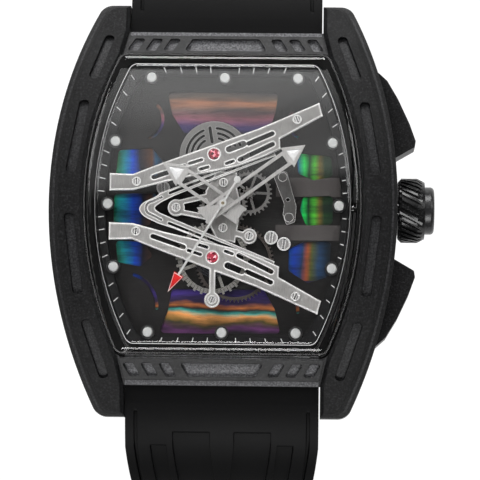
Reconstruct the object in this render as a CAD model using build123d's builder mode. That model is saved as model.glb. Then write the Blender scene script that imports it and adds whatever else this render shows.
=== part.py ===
from build123d import *
import os
from math import asin, atan2, cos, degrees, hypot, pi, radians, sin, sqrt, tan

os.makedirs("parts", exist_ok=True)

# The dial faces up (+Z), 12 o'clock is +Y and the crown points along +X.
# The origin lies on the surface that the closed strap rests on, under the middle of the dial.
# Heights of the case's pieces are measured up from the underside of the case back.

# Common clearances
overrun = 1.0
fit_gap = 0.1
running_gap = 0.05
seat_gap = 0.02

# Case
case_back_height = 54.5
case_half_width = 21.45
case_half_length = 25.9
case_end_half_width = 15.5
case_corner = 1.8
case_floor = 0.9
case_top = 10.0
case_arch_radius = 55.0
case_edge_bevel = 0.45

# Top plates
plate_thickness = 0.7
plate_inset = 0.8
plate_gap = 0.15
side_plate_bevel = 0.45
end_plate_bevel = 0.15
end_ledge = 0.4
end_plate_length = 3.35
side_slot_width = 1.25
side_slot_round = 0.5
end_pocket_slant = 1.0
end_pocket_margin = 0.6

# Crystal
crystal_half_width = 17.1
crystal_half_length = 18.65
crystal_end_half_width = 12.85
crystal_corner = 1.3
crystal_wall = 1.35
crystal_top = 13.0
crystal_thickness = 1.5
crystal_arch_radius = 75.0
crystal_edge_round = 1.1
crystal_seat = 6.4
gasket_height = 0.2
ledge_width = 1.2

# Case back
back_half_width = 18.2
back_half_length = 19.0
back_end_half_width = 13.9
back_plug_height = 0.6
back_window_radius = 11.2
back_window_lip = 0.6
back_window_thickness = 1.0
back_screw_radius = 0.5
back_screw_head = 0.85
back_screw_head_height = 0.45
back_screw_length = 2.4
back_screw_side_spread = 5.0
back_screw_end_spread = 7.5

# Strap
strap_width = 24.0
strap_knee_rise = 2.2
strap_waist_width = 22.6
strap_waist_drop = 1.2
strap_buckle_width = 19.6
strap_thickness = 2.8
strap_gap = 0.15
strap_pocket_start = 19.4
strap_pocket_top = 4.65
strap_start_height = 3.0
strap_lean = 1.4
strap_shoulder = 31.5
strap_side = 39.2
strap_side_drop = 13.5
strap_low_side = 38.5
strap_low_height = 22.0
strap_turn_in = 29.0
strap_shoulder_radius = 14.0
strap_side_radius = 33.0
strap_low_radius = 29.0
strap_turn_radius = 16.0
strap_groove_depth = 0.5
strap_groove_width = 0.4
strap_border = 1.1
strap_panel_depth = 0.45
strap_rib_half_width = 1.5
strap_panel_width = 4.6
strap_outer_panel_width = 2.0
strap_panel_land = 0.8
strap_relief_end = 15.0
strap_bar_radius = 0.7
strap_bar_place = 21.2
strap_bar_grip = 1.5

# Keepers
keeper_wall = 1.4
keeper_side_wall = 1.2
keeper_length = 6.0
free_keeper_length = 5.0
free_keeper_place = 9.5
keeper_round = 0.5
layer_gap = 0.2

# Buckle
buckle_place = -8.0
buckle_reach = 15.0
buckle_rail_width = 2.0
buckle_rail_gap = 0.3
buckle_boss_radius = 1.7
buckle_bar_thickness = 1.4
buckle_bar_length = 2.4
buckle_pin_radius = 0.75
tang_width = 1.8
tang_thickness = 0.85
tang_ring_radius = 1.45
tang_clearance = 0.2
hole_length = 5.6
hole_width = 2.2
hole_spacing = 6.7
tail_tip = 17.0
tail_corner = 4.0

# Crown and stem
crown_height = 4.3
crown_radius = 4.0
crown_length = 3.3
crown_gap = 0.12
crown_chamfer = 0.45
crown_ridges = 32
crown_ridge_depth = 0.36
crown_ridge_width = 0.38
crown_ridge_tilt = 28.0
crown_cap_radius = 2.95
crown_cap_length = 1.2
crown_cap_round = 0.5
crown_socket_depth = 1.9
crown_tube_radius = 1.25
crown_tube_bore = 0.6
crown_tube_stand = 1.4
stem_radius = 0.5
stem_start = 11.8
stem_neck_radius = 0.3
stem_neck_length = 0.5
lever_thickness = 0.35
crown_travel = 1.2

# Pushers
pusher_low = 2.1
pusher_high = 6.5
pusher_travel = 0.8
pusher_gap = 0.15
pusher_rod_radius = 0.9
pusher_rod_place = 10.6
pusher_rod_depth = 3.4
pusher_round = 0.3

# Movement, back side
movement_radius = 13.0
train_bridge_low = 3.0
train_bridge_thickness = 0.7
main_plate_low = 4.9
main_plate_thickness = 0.6
film_thickness = 0.15
dial_thickness = 0.35
train_start = 0.1
wheel_thickness = 0.2
wheel_step = 0.32
rotor_low = 2.1
rotor_radius = 12.2
rotor_thickness = 0.35
rotor_rim_width = 2.0
rotor_rim_height = 0.75
rotor_hub_radius = 2.2
bearing_radius = 1.3
bearing_height = 0.8

# Gear train: teeth and sizes of tooth
centre_wheel_teeth = 64
third_pinion_teeth = 8
third_wheel_teeth = 60
seconds_pinion_teeth = 8
train_distance = 6.3
third_bearing = 34.0
fourth_wheel_teeth = 70
escape_pinion_teeth = 7
escape_distance = 5.3
escape_bearing = 222.7
escape_wheel_radius = 1.45
escape_wheel_teeth = 15
pallet_distance = 1.95
pallet_bearing = 311.5
balance_distance = 6.62
balance_bearing = 259.2
barrel_teeth = 55
barrel_pinion_teeth = 24
barrel_distance = 6.32
barrel_bearing = 101.0
cannon_teeth = 10
minute_wheel_teeth = 30
minute_pinion_teeth = 8
hour_wheel_teeth = 32
motion_distance = 3.6
motion_bearing = 28.0
tooth_rise_share = 0.7
tooth_fall_share = 1.05
tooth_root_share = 0.56
tooth_pitch_share = 0.36
tooth_tip_share = 0.17

# Arbors
seconds_arbor_radius = 0.2
minute_tube_bore = 0.25
minute_tube_radius = 0.42
hour_tube_bore = 0.48
hour_tube_radius = 0.68
arbor_radius = 0.22
staff_radius = 0.2
roller_radius = 0.45

# Dial side levels, thicknesses and wheels
drum_level = 6.15
drum_gear_thickness = 0.3
drum_radius = 3.9
drum_wall = 0.25
drum_depth = 1.0
well_gap = 0.15
ratchet_level = 6.5
ratchet_radius = 4.35
ratchet_thickness = 0.25
minute_wheel_level = 6.8
hour_wheel_level = 7.0
motion_thickness = 0.15
balance_level = 6.5
balance_radius = 4.3
balance_rim = 0.55
balance_thickness = 0.3
balance_studs = 30
balance_stud_length = 0.75
balance_stud_width = 0.3
hairspring_level = 7.0
hairspring_height = 0.2
hairspring_radius = 2.3
hairspring_turns = 8
spring_strip = 0.07
index_ring_radius = 4.76
index_ring_width = 0.5
index_ring_teeth = 60
index_ring_height = 0.35
index_ring_place_x = 1.46
index_ring_place_y = -6.92
mainspring_turns = 7
mainspring_strip = 0.12

# Bridges
dial_half_width = 15.0
dial_half_length = 17.0
centre_bridge_level = 7.3
centre_bridge_thickness = 0.4
hairpin_level = 7.75
hairpin_thickness = 0.3
beam_level = 8.1
beam_thickness = 0.5
bridge_bevel = 0.1
jewel_radius = 0.72
jewel_stand = 0.08
pillar_radius = 0.55
small_pillar_radius = 0.35
screw_head_radius = 0.55
screw_dish_radius = 0.41
screw_dish_depth = 0.06
screw_turn = 2.0
screw_head_height = 0.24
screw_shank_radius = 0.25
screw_slot_width = 0.2
screw_slot_depth = 0.18
plate_screw_radius = 0.82
plate_dish_radius = 0.66
plate_screw_level = 6.5
plate_screw_height = 0.3
setting_bridge_level = 6.15
setting_bridge_thickness = 0.45

# Flange ring, cups and dots
flange_gap = 0.05
flange_width = 1.15
flange_top = 8.0
flange_slope = 0.5
cup_radius = 0.85
cup_wall = 0.2
cup_height = 0.3
dot_radius = 0.62
dot_height = 0.42
dot_half_width = 14.25
dot_half_length = 15.7

# Hands
hour_hand_level = 8.95
minute_hand_level = 9.35
seconds_hand_level = 9.75
hand_thickness = 0.2
seconds_thickness = 0.14
hour_length = 9.1
hour_head_length = 3.1
hour_head_half_width = 1.5
hour_rail_spread = 0.95
hour_tail = 2.6
minute_length = 12.4
minute_head_length = 2.7
minute_head_half_width = 1.45
minute_rail_spread = 0.78
minute_tail = 2.9
hand_rail_width = 0.4
hand_frame = 0.34
hour_hub_radius = 0.98
minute_hub_radius = 0.76
seconds_hub_radius = 0.45
seconds_length = 12.8
seconds_head_length = 2.5
seconds_head_half_width = 0.58
seconds_needle_width = 0.26
seconds_tail = 3.4
hour_clock = 304.0
minute_clock = 54.0
seconds_clock = 211.0

# Sizes that follow from the ones above
plate_top = case_top + plate_thickness
seat_half_width = crystal_half_width + fit_gap
seat_half_length = crystal_half_length + fit_gap
seat_end_half_width = crystal_end_half_width + fit_gap
cavity_half_width = seat_half_width - ledge_width
cavity_half_length = seat_half_length - ledge_width
cavity_end_half_width = seat_end_half_width - ledge_width
crystal_low = crystal_seat + gasket_height
film_low = main_plate_low + main_plate_thickness
dial_low = film_low + film_thickness
dial_top = dial_low + dial_thickness
train_floor = train_bridge_low + train_bridge_thickness
lug_gap_half = strap_width / 2 + strap_gap
keeper_inside_half = strap_buckle_width / 2 + strap_gap
tail_low = keeper_wall + layer_gap
tail_mid = tail_low + strap_thickness / 2
short_low = tail_low + strap_thickness + layer_gap
short_mid = short_low + strap_thickness / 2
short_high = short_low + strap_thickness
beam_top = beam_level + beam_thickness


def save(piece, name):
    """Label a finished piece and write it under its node's name."""
    piece.part.label = name
    export_step(piece.part, f"parts/{name}.step")


def level(height):
    """Horizontal plane at a height above the underside of the case back."""
    return Plane.XY.offset(case_back_height + height)


def spot(height, place):
    """Horizontal plane at a height, centred on a place of the dial."""
    return Plane(origin=(place[0], place[1], case_back_height + height))


def polar(distance, bearing):
    """Place at a distance from the hands' axis, its bearing counted from +X."""
    return distance * cos(radians(bearing)), distance * sin(radians(bearing))


def on_dial(share):
    """Place on the dial from shares of its half width and half length."""
    return share[0] * dial_half_width, share[1] * dial_half_length


def face_of(points, corner=0.0):
    """Closed outline through points, with rounded corners where a radius is given."""
    with BuildLine() as outline:
        Polyline(*points, close=True)
        if corner:
            fillet(vertices(), corner)
    make_face(outline.edges())


def hole_of(points, corner=0.0):
    """The same outline, taken out of the sketch."""
    with BuildLine() as outline:
        Polyline(*points, close=True)
        if corner:
            fillet(vertices(), corner)
    make_face(outline.edges(), mode=Mode.SUBTRACT)


def tonneau(half_width, half_length, end_half_width, corner, mode=Mode.ADD):
    """Outline with straight ends and bowed sides."""
    with BuildLine() as outline:
        ThreePointArc((end_half_width, -half_length), (half_width, 0), (end_half_width, half_length))
        Line((end_half_width, half_length), (-end_half_width, half_length))
        ThreePointArc((-end_half_width, half_length), (-half_width, 0), (-end_half_width, -half_length))
        Line((-end_half_width, -half_length), (end_half_width, -half_length))
        fillet(vertices(), corner)
    make_face(outline.edges(), mode=mode)


def inset_tonneau(inset, mode=Mode.ADD):
    """The crystal's outline, drawn in all round."""
    tonneau(
        crystal_half_width - inset,
        crystal_half_length - inset,
        crystal_end_half_width - inset,
        crystal_corner,
        mode,
    )


def under_arch(top, radius):
    """Side view of all that lies under an arch over the case's length."""
    reach = case_half_length + overrun
    crest = case_back_height + top
    foot = crest - radius + sqrt(radius**2 - reach**2)
    floor = case_back_height - overrun
    with BuildLine() as outline:
        ThreePointArc((-reach, foot), (0, crest), (reach, foot))
        Polyline((reach, foot), (reach, floor), (-reach, floor), (-reach, foot))
    make_face(outline.edges())


def curved_slot(radius, start, sweep, width):
    """Slot with round ends along an arc about the sketch's middle."""
    with BuildLine() as middle:
        CenterArc((0, 0), radius, start, sweep)
    SlotArc(middle.edge(), width, mode=Mode.SUBTRACT)


def bent_slot(points, width):
    """Slot with round ends along an arc through three points."""
    with BuildLine() as middle:
        ThreePointArc(*points)
    SlotArc(middle.edge(), width, mode=Mode.SUBTRACT)


def straight_slot(start, finish, width):
    """Slot with round ends between two points."""
    with BuildLine() as middle:
        Line(start, finish)
    SlotArc(middle.edge(), width, mode=Mode.SUBTRACT)


def gear(teeth, pitch_radius):
    """Toothed outline; teeth are narrower than their gaps, so meshed wheels run free."""
    module = 2 * pitch_radius / teeth
    step = 2 * pi / teeth
    tip = pitch_radius + tooth_rise_share * module
    root = pitch_radius - tooth_fall_share * module
    points = []
    for tooth in range(teeth):
        middle = step * tooth
        for radius, share in (
            (root, -tooth_root_share),
            (pitch_radius, -tooth_pitch_share),
            (tip, -tooth_tip_share),
            (tip, tooth_tip_share),
            (pitch_radius, tooth_pitch_share),
            (root, tooth_root_share),
        ):
            angle = middle + share * step / 2
            points.append((radius * cos(angle), radius * sin(angle)))
    face_of(points)


def turned(height, place, degrees_turned):
    """Horizontal plane at a place, turned about its own upright axis."""
    turn = radians(degrees_turned)
    return Plane(
        origin=(place[0], place[1], case_back_height + height),
        x_dir=(cos(turn), sin(turn), 0),
        z_dir=(0, 0, 1),
    )


def mesh_turn(teeth, bearing):
    """Turn that puts a gap of a driven wheel on the line back to its driver."""
    return bearing + 180 + 180 / teeth


def driver_turn(bearing):
    """Turn that points a tooth of the driving wheel at the driven one."""
    return bearing


def spiral_strip(inner, outer, turns, strip):
    """Flat spiral of an even strip, from an inner to an outer radius."""
    steps = 12 * turns
    inside = []
    outside = []
    for step in range(steps + 1):
        angle = 2 * pi * turns * step / steps
        radius = inner + (outer - inner) * step / steps
        inside.append(((radius - strip / 2) * cos(angle), (radius - strip / 2) * sin(angle)))
        outside.append(((radius + strip / 2) * cos(angle), (radius + strip / 2) * sin(angle)))
    with BuildLine() as outline:
        Spline(*inside)
        Spline(*outside)
        Line(inside[0], outside[0])
        Line(inside[-1], outside[-1])
    make_face(outline.edges())


# Case middle: the dark flank, lugs and the cavity for crystal and movement
def pusher_outline(side, inward, spread):
    """Top view of a pusher beside the crown; side is 1 above it and -1 below."""
    near = case_half_width - inward
    points = [
        (near - 0.2 * crown_radius, 1.5 * crown_radius - spread - inward / 2),
        (case_half_width + 0.54 * crown_radius, 1.93 * crown_radius - spread),
        (case_half_width + 0.57 * crown_radius + spread, 2.12 * crown_radius),
        (case_half_width + 0.38 * crown_radius + spread, 2.65 * crown_radius),
        (case_half_width + 0.03 * crown_radius + spread, 3.4 * crown_radius),
        (case_half_width - 0.33 * crown_radius + spread, 4.0 * crown_radius + spread),
        (case_half_width - 0.64 * crown_radius + spread, 4.28 * crown_radius + spread),
        (near - 0.75 * crown_radius, 4.28 * crown_radius + spread),
        (near - 0.5 * crown_radius, 3.2 * crown_radius),
    ]
    return [(x, side * y) for x, y in points]


with BuildPart() as case_middle:
    with BuildSketch(level(case_floor)):
        tonneau(case_half_width, case_half_length, case_end_half_width, case_corner)
    extrude(amount=case_top)
    with BuildSketch(Plane.YZ):
        under_arch(case_top, case_arch_radius)
    extrude(amount=case_half_width + overrun, both=True, mode=Mode.INTERSECT)
    chamfer(faces().filter_by(GeomType.CYLINDER).sort_by(SortBy.AREA)[-1].edges(), case_edge_bevel)
    with BuildSketch(level(crystal_seat)):
        tonneau(seat_half_width, seat_half_length, seat_end_half_width, crystal_corner + fit_gap)
    extrude(amount=case_top, mode=Mode.SUBTRACT)
    with BuildSketch(level(0)):
        tonneau(cavity_half_width, cavity_half_length, cavity_end_half_width, crystal_corner)
    extrude(amount=crystal_seat + overrun, mode=Mode.SUBTRACT)
    # Pockets between the lugs for the strap's ends
    for end in (1, -1):
        with BuildSketch(level(-overrun)):
            near, far = strap_pocket_start, case_half_length + overrun
            with Locations((0, end * (near + far) / 2)):
                Rectangle(2 * lug_gap_half, far - near)
        extrude(amount=strap_pocket_top + overrun, mode=Mode.SUBTRACT)
        with BuildSketch(level(-overrun)):
            near = seat_half_length + end_plate_length
            with Locations((0, end * (near + far) / 2)):
                Rectangle(2 * lug_gap_half, far - near)
        extrude(amount=case_top + overrun, mode=Mode.SUBTRACT)
        # Hole for the strap's spring bar
        with BuildSketch(Plane.YZ):
            with Locations((end * strap_bar_place, case_back_height + strap_start_height)):
                Circle(strap_bar_radius + seat_gap)
        extrude(amount=lug_gap_half + strap_bar_grip, both=True, mode=Mode.SUBTRACT)
    # Bore for the crown's tube
    with BuildSketch(Plane.YZ.offset(cavity_half_width - overrun)):
        with Locations((0, case_back_height + crown_height)):
            Circle(crown_tube_radius)
    extrude(amount=ledge_width + case_half_width - cavity_half_width + overrun, mode=Mode.SUBTRACT)
    # Recesses and bores for the pushers
    for side in (1, -1):
        with BuildSketch(level(pusher_low - pusher_gap)):
            face_of(pusher_outline(side, pusher_travel + pusher_gap, pusher_gap))
        extrude(amount=pusher_high - pusher_low + 2 * pusher_gap, mode=Mode.SUBTRACT)
        with BuildSketch(Plane.YZ.offset(case_half_width - pusher_rod_depth - pusher_travel - pusher_gap)):
            with Locations((side * pusher_rod_place, case_back_height + (pusher_low + pusher_high) / 2)):
                Circle(pusher_rod_radius + running_gap)
        extrude(amount=pusher_rod_depth + overrun, mode=Mode.SUBTRACT)
    # Threaded holes for the case back's screws
    back_screw_places = [
        (across * (back_half_width - back_screw_head - fit_gap - 0.25 * ledge_width), along * back_screw_side_spread)
        for across in (1, -1)
        for along in (1, -1)
    ] + [
        (across * back_screw_end_spread, along * (back_half_length - back_screw_radius))
        for across in (1, -1)
        for along in (1, -1)
    ]
    with BuildSketch(level(case_floor - overrun)):
        with Locations(*back_screw_places):
            Circle(back_screw_radius)
    extrude(amount=back_screw_length + overrun - case_floor + seat_gap, mode=Mode.SUBTRACT)
save(case_middle, "case_middle")


def plate_from(outline, bevel):
    """Turn a top view into a thin bevelled plate that follows the case's arch."""
    with BuildPart() as plate:
        add(outline)
        extrude(amount=case_top + plate_thickness + overrun)
        with BuildSketch(Plane.YZ):
            under_arch(plate_top, case_arch_radius)
        extrude(amount=case_half_width + overrun, both=True, mode=Mode.INTERSECT)
        with BuildSketch(Plane.YZ):
            under_arch(case_top, case_arch_radius)
        extrude(amount=case_half_width + overrun, both=True, mode=Mode.SUBTRACT)
        chamfer(faces().sort_by(Axis.Z)[-1].outer_wire().edges(), bevel)
    return plate


def bow(half_width, end_half_width, half_length, y):
    """Distance of a bowed side from the middle line at a place along it."""
    rise = half_width - end_half_width
    radius = (rise**2 + half_length**2) / (2 * rise)
    return half_width - radius + sqrt(radius**2 - y**2)


def side_middle(y):
    """Middle line of a side plate."""
    outer = bow(case_half_width - plate_inset, case_end_half_width - plate_inset, case_half_length, y)
    inner = bow(seat_half_width, seat_end_half_width, seat_half_length, y)
    return (outer + max(inner, lug_gap_half)) / 2


# Side plates with their four slots: which half, and shares of the case's half length
side_slot_shares = [(1, 0.14, 0.495), (1, 0.605, 0.83), (-1, 0.055, 0.435), (-1, 0.555, 0.825)]
plate_near = seat_half_length + fit_gap
plate_far = plate_near + end_plate_length - 2 * plate_gap - end_ledge
for side, name in ((1, "side_plate_right"), (-1, "side_plate_left")):
    with BuildSketch(level(0)) as side_view:
        tonneau(
            case_half_width - plate_inset,
            case_half_length - plate_gap,
            case_end_half_width - plate_inset,
            case_corner,
        )
        with BuildLine() as opening:
            reach = case_half_length + overrun
            ThreePointArc(
                (seat_end_half_width, -seat_half_length), (seat_half_width, 0), (seat_end_half_width, seat_half_length)
            )
            Polyline(
                (seat_end_half_width, seat_half_length),
                (lug_gap_half, seat_half_length + end_plate_length),
                (lug_gap_half, reach),
                (-case_half_width - overrun, reach),
                (-case_half_width - overrun, -reach),
                (lug_gap_half, -reach),
                (lug_gap_half, -seat_half_length - end_plate_length),
                (seat_end_half_width, -seat_half_length),
            )
        make_face(mode=Mode.SUBTRACT)
        for along, low_share, high_share in side_slot_shares:
            low, high = low_share * case_half_length, high_share * case_half_length
            hole_of(
                [
                    (side_middle(low) - side_slot_width / 2, along * low),
                    (side_middle(low) + side_slot_width / 2, along * low),
                    (side_middle(high) + side_slot_width / 2, along * high),
                    (side_middle(high) - side_slot_width / 2, along * high),
                ],
                side_slot_round,
            )
    if side < 0:
        side_view = mirror(side_view.sketch, about=Plane.YZ)
    else:
        side_view = side_view.sketch
    side_plate = plate_from(side_view, side_plate_bevel)
    save(side_plate, name)

# End plates with their row of pockets, as shares of the half width
end_pocket_shares = [(-0.345, 0.345), (0.46, 0.57), (0.645, 0.755), (0.83, 0.94)]
for end, name in ((1, "end_plate_top"), (-1, "end_plate_bottom")):
    with BuildSketch(level(0)) as end_view:
        near_half = seat_end_half_width - 2 * plate_gap
        far_half = lug_gap_half - plate_gap
        face_of(
            [
                (near_half, end * plate_near),
                (far_half, end * plate_far),
                (-far_half, end * plate_far),
                (-near_half, end * plate_near),
            ]
        )
        pocket_near = plate_near + end_pocket_margin
        pocket_far = plate_far - end_pocket_margin * 0.7
        for low_share, high_share in end_pocket_shares:
            for across in (1, -1):
                if low_share < 0 and across < 0:
                    continue
                low, high = low_share * far_half, high_share * far_half
                spread = end_pocket_slant if low_share > 0 else -end_pocket_slant
                hole_of(
                    [
                        (across * low, end * pocket_far),
                        (across * high, end * pocket_far),
                        (across * (high + end_pocket_slant), end * pocket_near),
                        (across * (low + spread), end * pocket_near),
                    ],
                    side_slot_round / 2,
                )
    end_plate = plate_from(end_view.sketch, end_plate_bevel)
    save(end_plate, name)

# Raised box crystal
with BuildPart() as crystal_hollow:
    with BuildSketch(level(0)):
        inset_tonneau(crystal_wall)
    extrude(amount=crystal_top)
    with BuildSketch(Plane.YZ):
        under_arch(crystal_top - crystal_thickness, crystal_arch_radius - crystal_thickness)
    extrude(amount=case_half_width, both=True, mode=Mode.INTERSECT)
    fillet(faces().sort_by(Axis.Z)[-1].edges(), crystal_edge_round / 2)

with BuildPart() as crystal:
    with BuildSketch(level(crystal_low)):
        inset_tonneau(0)
    extrude(amount=crystal_top)
    with BuildSketch(Plane.YZ):
        under_arch(crystal_top, crystal_arch_radius)
    extrude(amount=case_half_width, both=True, mode=Mode.INTERSECT)
    fillet(faces().sort_by(Axis.Z)[-1].edges(), crystal_edge_round)
    add(crystal_hollow.part, mode=Mode.SUBTRACT)
save(crystal, "crystal")

# Case back, its window and screws, and the gaskets of crystal and back
with BuildPart() as caseback:
    with BuildSketch(level(0)):
        tonneau(back_half_width, back_half_length, back_end_half_width, case_corner)
    extrude(amount=case_floor)
    chamfer(faces().sort_by(Axis.Z)[0].edges(), case_edge_bevel)
    with BuildSketch(level(case_floor)):
        tonneau(
            cavity_half_width - fit_gap,
            cavity_half_length - fit_gap,
            cavity_end_half_width - fit_gap,
            crystal_corner,
        )
    extrude(amount=back_plug_height)
    with BuildSketch(level(-overrun)):
        Circle(back_window_radius - back_window_lip)
    extrude(amount=case_floor + back_plug_height + 2 * overrun, mode=Mode.SUBTRACT)
    with BuildSketch(level(case_floor + back_plug_height - back_window_thickness)):
        Circle(back_window_radius)
    extrude(amount=back_window_thickness + overrun, mode=Mode.SUBTRACT)
    with BuildSketch(level(-overrun)):
        with Locations(*back_screw_places):
            Circle(back_screw_radius + seat_gap)
    extrude(amount=case_floor + back_plug_height + 2 * overrun, mode=Mode.SUBTRACT)
    with BuildSketch(level(-overrun)):
        with Locations(*back_screw_places):
            Circle(back_screw_head + seat_gap)
    extrude(amount=back_screw_head_height + overrun, mode=Mode.SUBTRACT)
save(caseback, "caseback")

with BuildPart() as back_crystal:
    with BuildSketch(level(case_floor + back_plug_height - back_window_thickness)):
        Circle(back_window_radius - seat_gap)
    extrude(amount=back_window_thickness)
save(back_crystal, "back_crystal")

with BuildPart() as gaskets:
    with BuildSketch(level(crystal_seat)):
        inset_tonneau(0)
        inset_tonneau(ledge_width - fit_gap, Mode.SUBTRACT)
    extrude(amount=gasket_height)
    with BuildSketch(level(case_floor + back_plug_height)):
        tonneau(
            cavity_half_width - fit_gap,
            cavity_half_length - fit_gap,
            cavity_end_half_width - fit_gap,
            crystal_corner,
        )
        Circle(movement_radius + back_window_lip, mode=Mode.SUBTRACT)
    extrude(amount=gasket_height)
save(gaskets, "gaskets")

with BuildPart() as caseback_screws:
    with BuildSketch(level(0)):
        with Locations(*back_screw_places):
            Circle(back_screw_head)
    extrude(amount=back_screw_head_height)
    with BuildSketch(level(back_screw_head_height)):
        with Locations(*back_screw_places):
            Circle(back_screw_radius - seat_gap)
    extrude(amount=back_screw_length - back_screw_head_height)
    with BuildSketch(level(0)):
        with Locations(*back_screw_places):
            Rectangle(2 * back_screw_head + overrun, screw_slot_width)
    extrude(amount=screw_slot_depth, mode=Mode.SUBTRACT)
save(caseback_screws, "caseback_screws")


# Movement: plates and ring
third_place = polar(train_distance, third_bearing)
escape_place = polar(escape_distance, escape_bearing)
barrel_place = polar(barrel_distance, barrel_bearing)
motion_place = polar(motion_distance, motion_bearing)
balance_place = polar(balance_distance, balance_bearing)
pallet_place = (
    escape_place[0] + pallet_distance * cos(radians(pallet_bearing)),
    escape_place[1] + pallet_distance * sin(radians(pallet_bearing)),
)
hand_axis = (0, 0)

with BuildPart() as train_bridge:
    with BuildSketch(level(train_bridge_low)):
        Circle(movement_radius)
        for place in (third_place, barrel_place):
            with Locations((-place[0], -place[1])):
                Circle(drum_radius / 2, mode=Mode.SUBTRACT)
    extrude(amount=train_bridge_thickness)
save(train_bridge, "train_bridge")

with BuildPart() as movement_ring:
    with BuildSketch(level(train_bridge_low)):
        tonneau(
            cavity_half_width - fit_gap,
            cavity_half_length - fit_gap,
            cavity_end_half_width - fit_gap,
            crystal_corner,
        )
        Circle(movement_radius + running_gap, mode=Mode.SUBTRACT)
    extrude(amount=film_low - train_bridge_low)
    with BuildSketch(Plane.YZ):
        with Locations((0, case_back_height + crown_height)):
            Circle(crown_tube_radius + fit_gap)
    extrude(amount=case_half_width, mode=Mode.SUBTRACT)
save(movement_ring, "movement_ring")

with BuildPart() as main_plate:
    with BuildSketch(level(main_plate_low)):
        Circle(movement_radius)
        Circle(minute_tube_radius + fit_gap, mode=Mode.SUBTRACT)
        with Locations(balance_place):
            Circle(staff_radius + fit_gap, mode=Mode.SUBTRACT)
    extrude(amount=main_plate_thickness)
    with BuildSketch(spot(film_low, barrel_place)):
        Circle(drum_radius + well_gap)
    extrude(amount=drum_level - drum_depth - well_gap - film_low, mode=Mode.SUBTRACT)
save(main_plate, "main_plate")


def dial_holes():
    """Holes that the film and the dial plate share."""
    Circle(minute_tube_radius + fit_gap, mode=Mode.SUBTRACT)
    with Locations(balance_place):
        Circle(staff_radius + fit_gap, mode=Mode.SUBTRACT)
    with Locations(barrel_place):
        Circle(drum_radius + well_gap, mode=Mode.SUBTRACT)


with BuildPart() as rainbow_film:
    with BuildSketch(level(film_low)):
        inset_tonneau(crystal_wall + flange_gap)
        dial_holes()
    extrude(amount=film_thickness)
save(rainbow_film, "rainbow_film")

window_shares = [
    [(-0.48, 0.84), (0.44, 0.84), (0.42, 0.7), (0.36, 0.54), (-0.34, 0.54), (-0.44, 0.68)],
    [(-0.88, 0.41), (-0.6, 0.43), (-0.5, 0.32), (-0.56, 0.22), (-0.9, 0.22)],
    [(-0.91, 0.09), (-0.54, 0.1), (-0.6, -0.02), (-0.6, -0.14), (-0.91, -0.13)],
    [(-0.89, -0.25), (-0.66, -0.26), (-0.58, -0.36), (-0.68, -0.44), (-0.87, -0.41)],
    [(0.6, 0.4), (0.88, 0.38), (0.9, 0.23), (0.74, 0.2), (0.61, 0.25)],
    [(0.65, 0.08), (0.9, 0.09), (0.9, -0.12), (0.68, -0.13), (0.63, -0.02)],
    [(0.54, -0.3), (0.66, -0.25), (0.89, -0.24), (0.87, -0.5), (0.7, -0.55), (0.54, -0.46)],
    [(-0.42, -0.6), (0.34, -0.6), (0.43, -0.74), (0.48, -0.92), (-0.52, -0.92), (-0.45, -0.76)],
]
window_round = 0.5
crescent_shares = [
    [(-0.73, -0.5), (-0.6, -0.58), (-0.54, -0.74)], [(0.5, -0.62), (0.58, -0.66), (0.62, -0.76)],
    [(-0.56, 0.74), (-0.52, 0.6), (-0.62, 0.5)], [(0.56, 0.7), (0.53, 0.6), (0.6, 0.52)],
]
crescent_width = 0.4

with BuildPart() as dial_plate:
    with BuildSketch(level(dial_low)):
        inset_tonneau(crystal_wall + flange_gap)
        dial_holes()
        for shares in window_shares:
            hole_of([on_dial(share) for share in shares], window_round)
        for shares in crescent_shares:
            bent_slot([on_dial(share) for share in shares], crescent_width)
    extrude(amount=dial_thickness)
save(dial_plate, "dial_plate")

# Flange ring with cups and lume dots at the twelve hours
def hour_places():
    """Places of the twelve hour dots, each on its own ray from the hands' axis."""
    places = []
    for hour in range(12):
        clock = radians(30 * hour)
        across, along = sin(clock), cos(clock)
        reach = dot_half_length / max(abs(along), seat_gap)
        if abs(across) * reach > dot_half_width * 0.66:
            reach = dot_half_width / abs(across)
            side = bow(dot_half_width, 0.78 * dot_half_width, dot_half_length, reach * abs(along))
            reach = side / abs(across)
        places.append((across * reach, along * reach))
    return places


with BuildPart() as flange_ring:
    with BuildSketch(level(dial_top)):
        inset_tonneau(crystal_wall + flange_gap)
        inset_tonneau(crystal_wall + flange_gap + flange_width, Mode.SUBTRACT)
    extrude(amount=flange_top - dial_top)
    with BuildSketch(level(flange_top - cup_height)):
        with Locations(*hour_places()):
            Circle(cup_radius)
    extrude(amount=cup_height)
save(flange_ring, "flange_ring")

with BuildPart() as hour_cups:
    with BuildSketch(level(flange_top)):
        with Locations(*hour_places()):
            Circle(cup_radius)
        with Locations(*hour_places()):
            Circle(cup_radius - cup_wall, mode=Mode.SUBTRACT)
    extrude(amount=cup_height)
    fillet(edges().group_by(Axis.Z)[-1], cup_wall / 3)
save(hour_cups, "hour_cups")

with BuildPart() as lume_dots:
    with BuildSketch(level(flange_top)):
        with Locations(*hour_places()):
            Circle(dot_radius)
    extrude(amount=dot_height)
    fillet(edges().group_by(Axis.Z)[-1], dot_height / 2)
save(lume_dots, "lume_dots")

# Gear train under the main plate
fourth_level = train_floor + train_start
third_level = fourth_level + wheel_step
centre_level = third_level + wheel_step


def pitch_radius(teeth, other, distance):
    """Pitch radius of a wheel from both tooth counts and the distance of the axes."""
    return distance * teeth / (teeth + other)


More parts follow.
